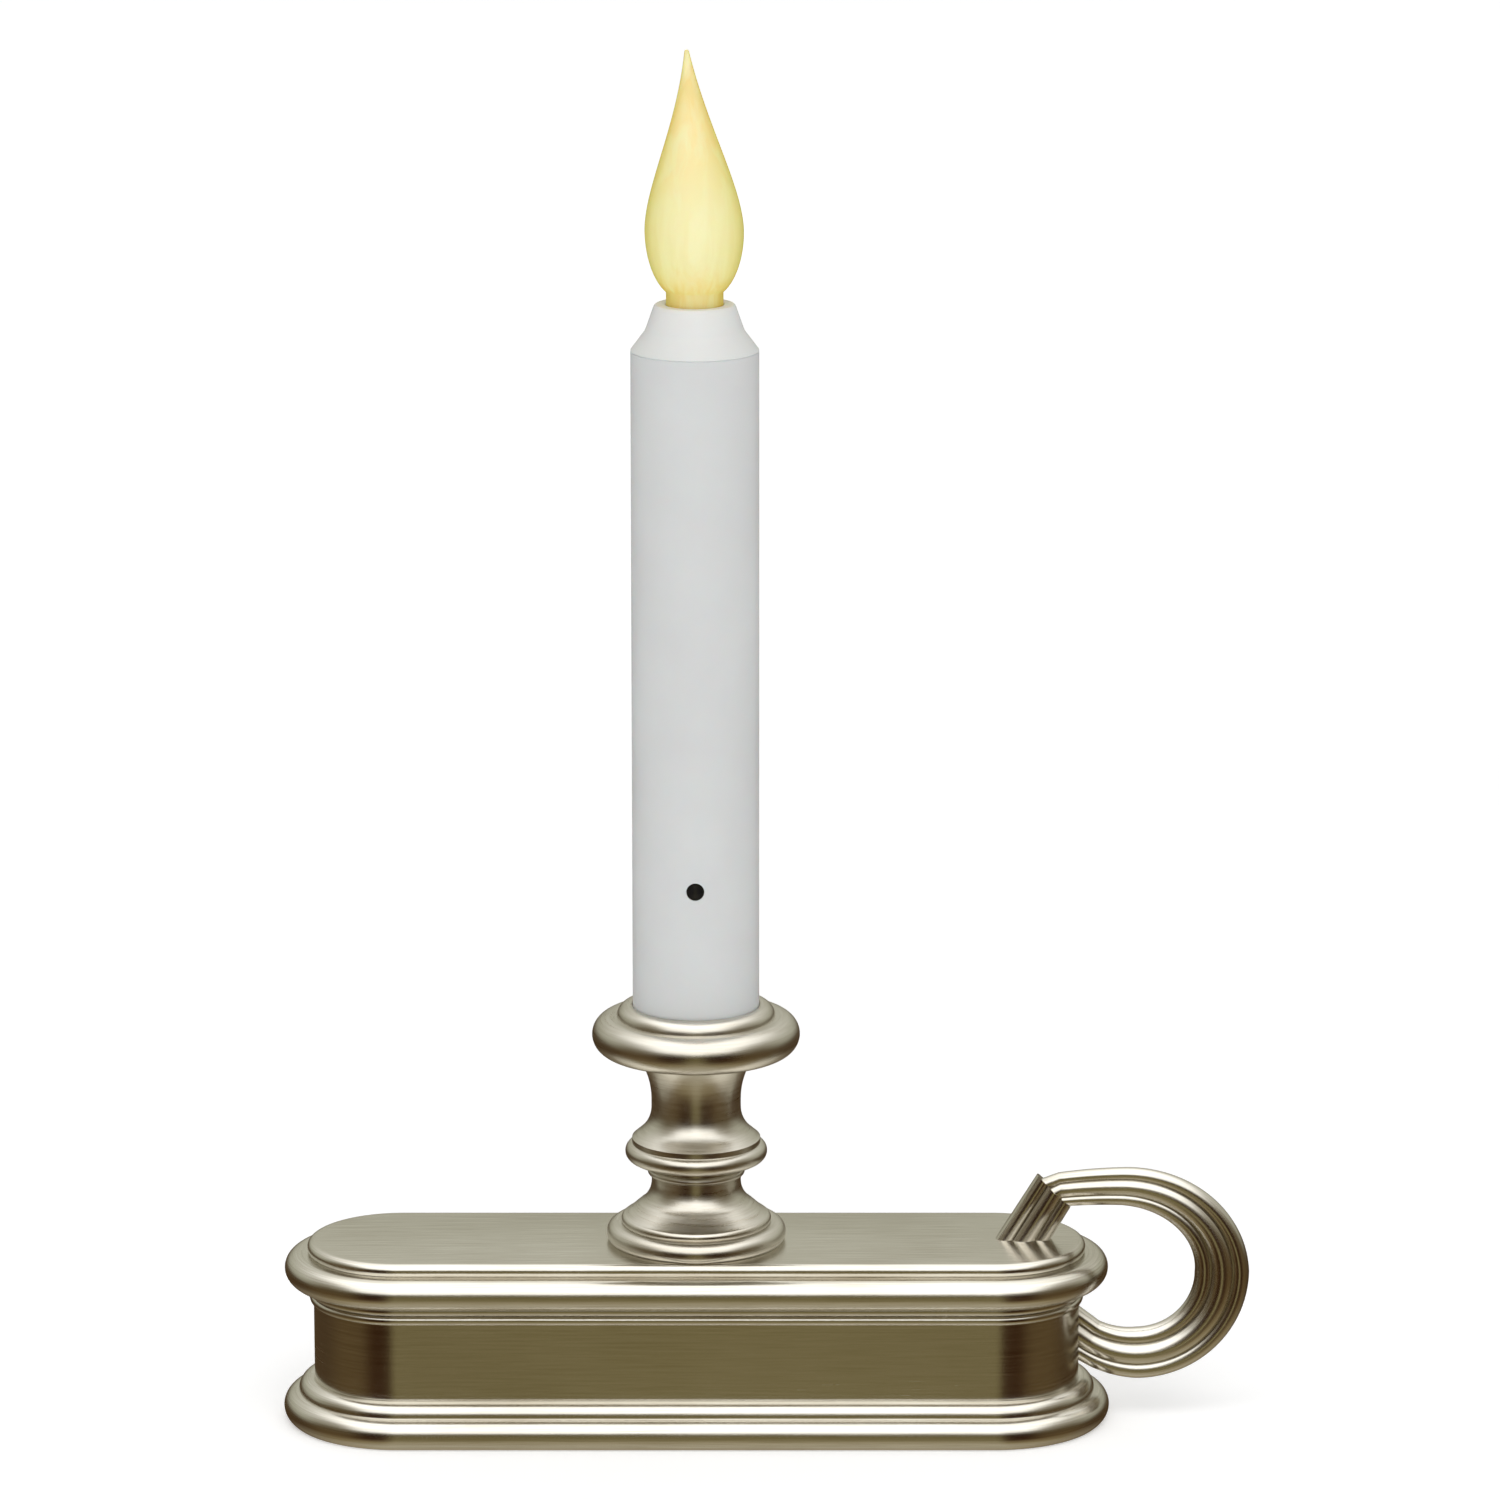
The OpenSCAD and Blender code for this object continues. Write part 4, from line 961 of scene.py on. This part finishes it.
steel = dict(metallic=1.0, scale=300, bump=0.03, stretch=(1, 1, 6))
finishes = {
    "bottom_plate": makePlain("plateBrown", ((0.055, 0.05, 0.042), (0.075, 0.068, 0.058)), (0.5, 0.62),
                              bump=0.12),
    "battery_door": makePlain("doorBrown", ((0.06, 0.055, 0.046), (0.082, 0.075, 0.064)), (0.48, 0.6),
                              bump=0.12),
    "switch_slider": makePlain("knobBlack", (grey(0.012), grey(0.02)), (0.4, 0.5)),
    "led": makePlain("ledEpoxy", ((0.86, 0.82, 0.62), (0.92, 0.88, 0.7)), (0.1, 0.2), Emission_Strength=1.5,
                     Emission_Color=(1, 0.86, 0.5, 1)),
    "led_holder": makePlain("holderWhite", (grey(0.62), grey(0.68)), (0.5, 0.6)),
    "light_sensor": makePlain("sensorClay", ((0.30, 0.10, 0.06), (0.40, 0.16, 0.09)), (0.4, 0.55), scale=900),
    "circuit_board": makePlain("boardGreen", ((0.02, 0.11, 0.035), (0.03, 0.15, 0.05)), (0.3, 0.42),
                               scale=700),
    "quartz_crystal": makePlain("crystalCan", (grey(0.6), grey(0.7)), (0.18, 0.26), **steel),
    "capacitor": makePlain("capSleeve", ((0.012, 0.02, 0.055), (0.02, 0.03, 0.08)), (0.2, 0.3)),
}
sharedFinishes = (
    (("hinge_pins", "plate_screws", "stem_screws", "handle_screws", "switch_housing"),
     makePlain("fixingSteel", ((0.48, 0.47, 0.45), (0.58, 0.57, 0.55)), (0.26, 0.38), **steel)),
    (("positive_contact", "negative_contact", "contact_spring"),
     makePlain("contactNickel", ((0.62, 0.60, 0.56), (0.72, 0.70, 0.66)), (0.16, 0.26), **steel)),
    (("switch_pins",), makePlain("pinBrass", ((0.56, 0.44, 0.2), (0.66, 0.53, 0.27)), (0.24, 0.34), **steel)),
    (("timer_chip", "resistors", "transistor"),
     makePlain("chipEpoxy", (grey(0.016), grey(0.03)), (0.5, 0.65))),
    (("wire_positive", "led_wires"),
     makePlain("wireRed", ((0.36, 0.012, 0.01), (0.44, 0.02, 0.015)), (0.3, 0.42), scale=400)),
    (("wire_negative", "wire_switch"),
     makePlain("wireBlack", (grey(0.012), grey(0.02)), (0.3, 0.42), scale=400)),
    (("battery_left", "battery_right"), cellJacket()),
)
for names, mat in sharedFinishes:
    finishes.update({name: mat for name in names})
for name, mat in finishes.items():
    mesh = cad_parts[name].data
    mesh.materials.clear()
    mesh.materials.append(mat)
print("inner pieces ready")
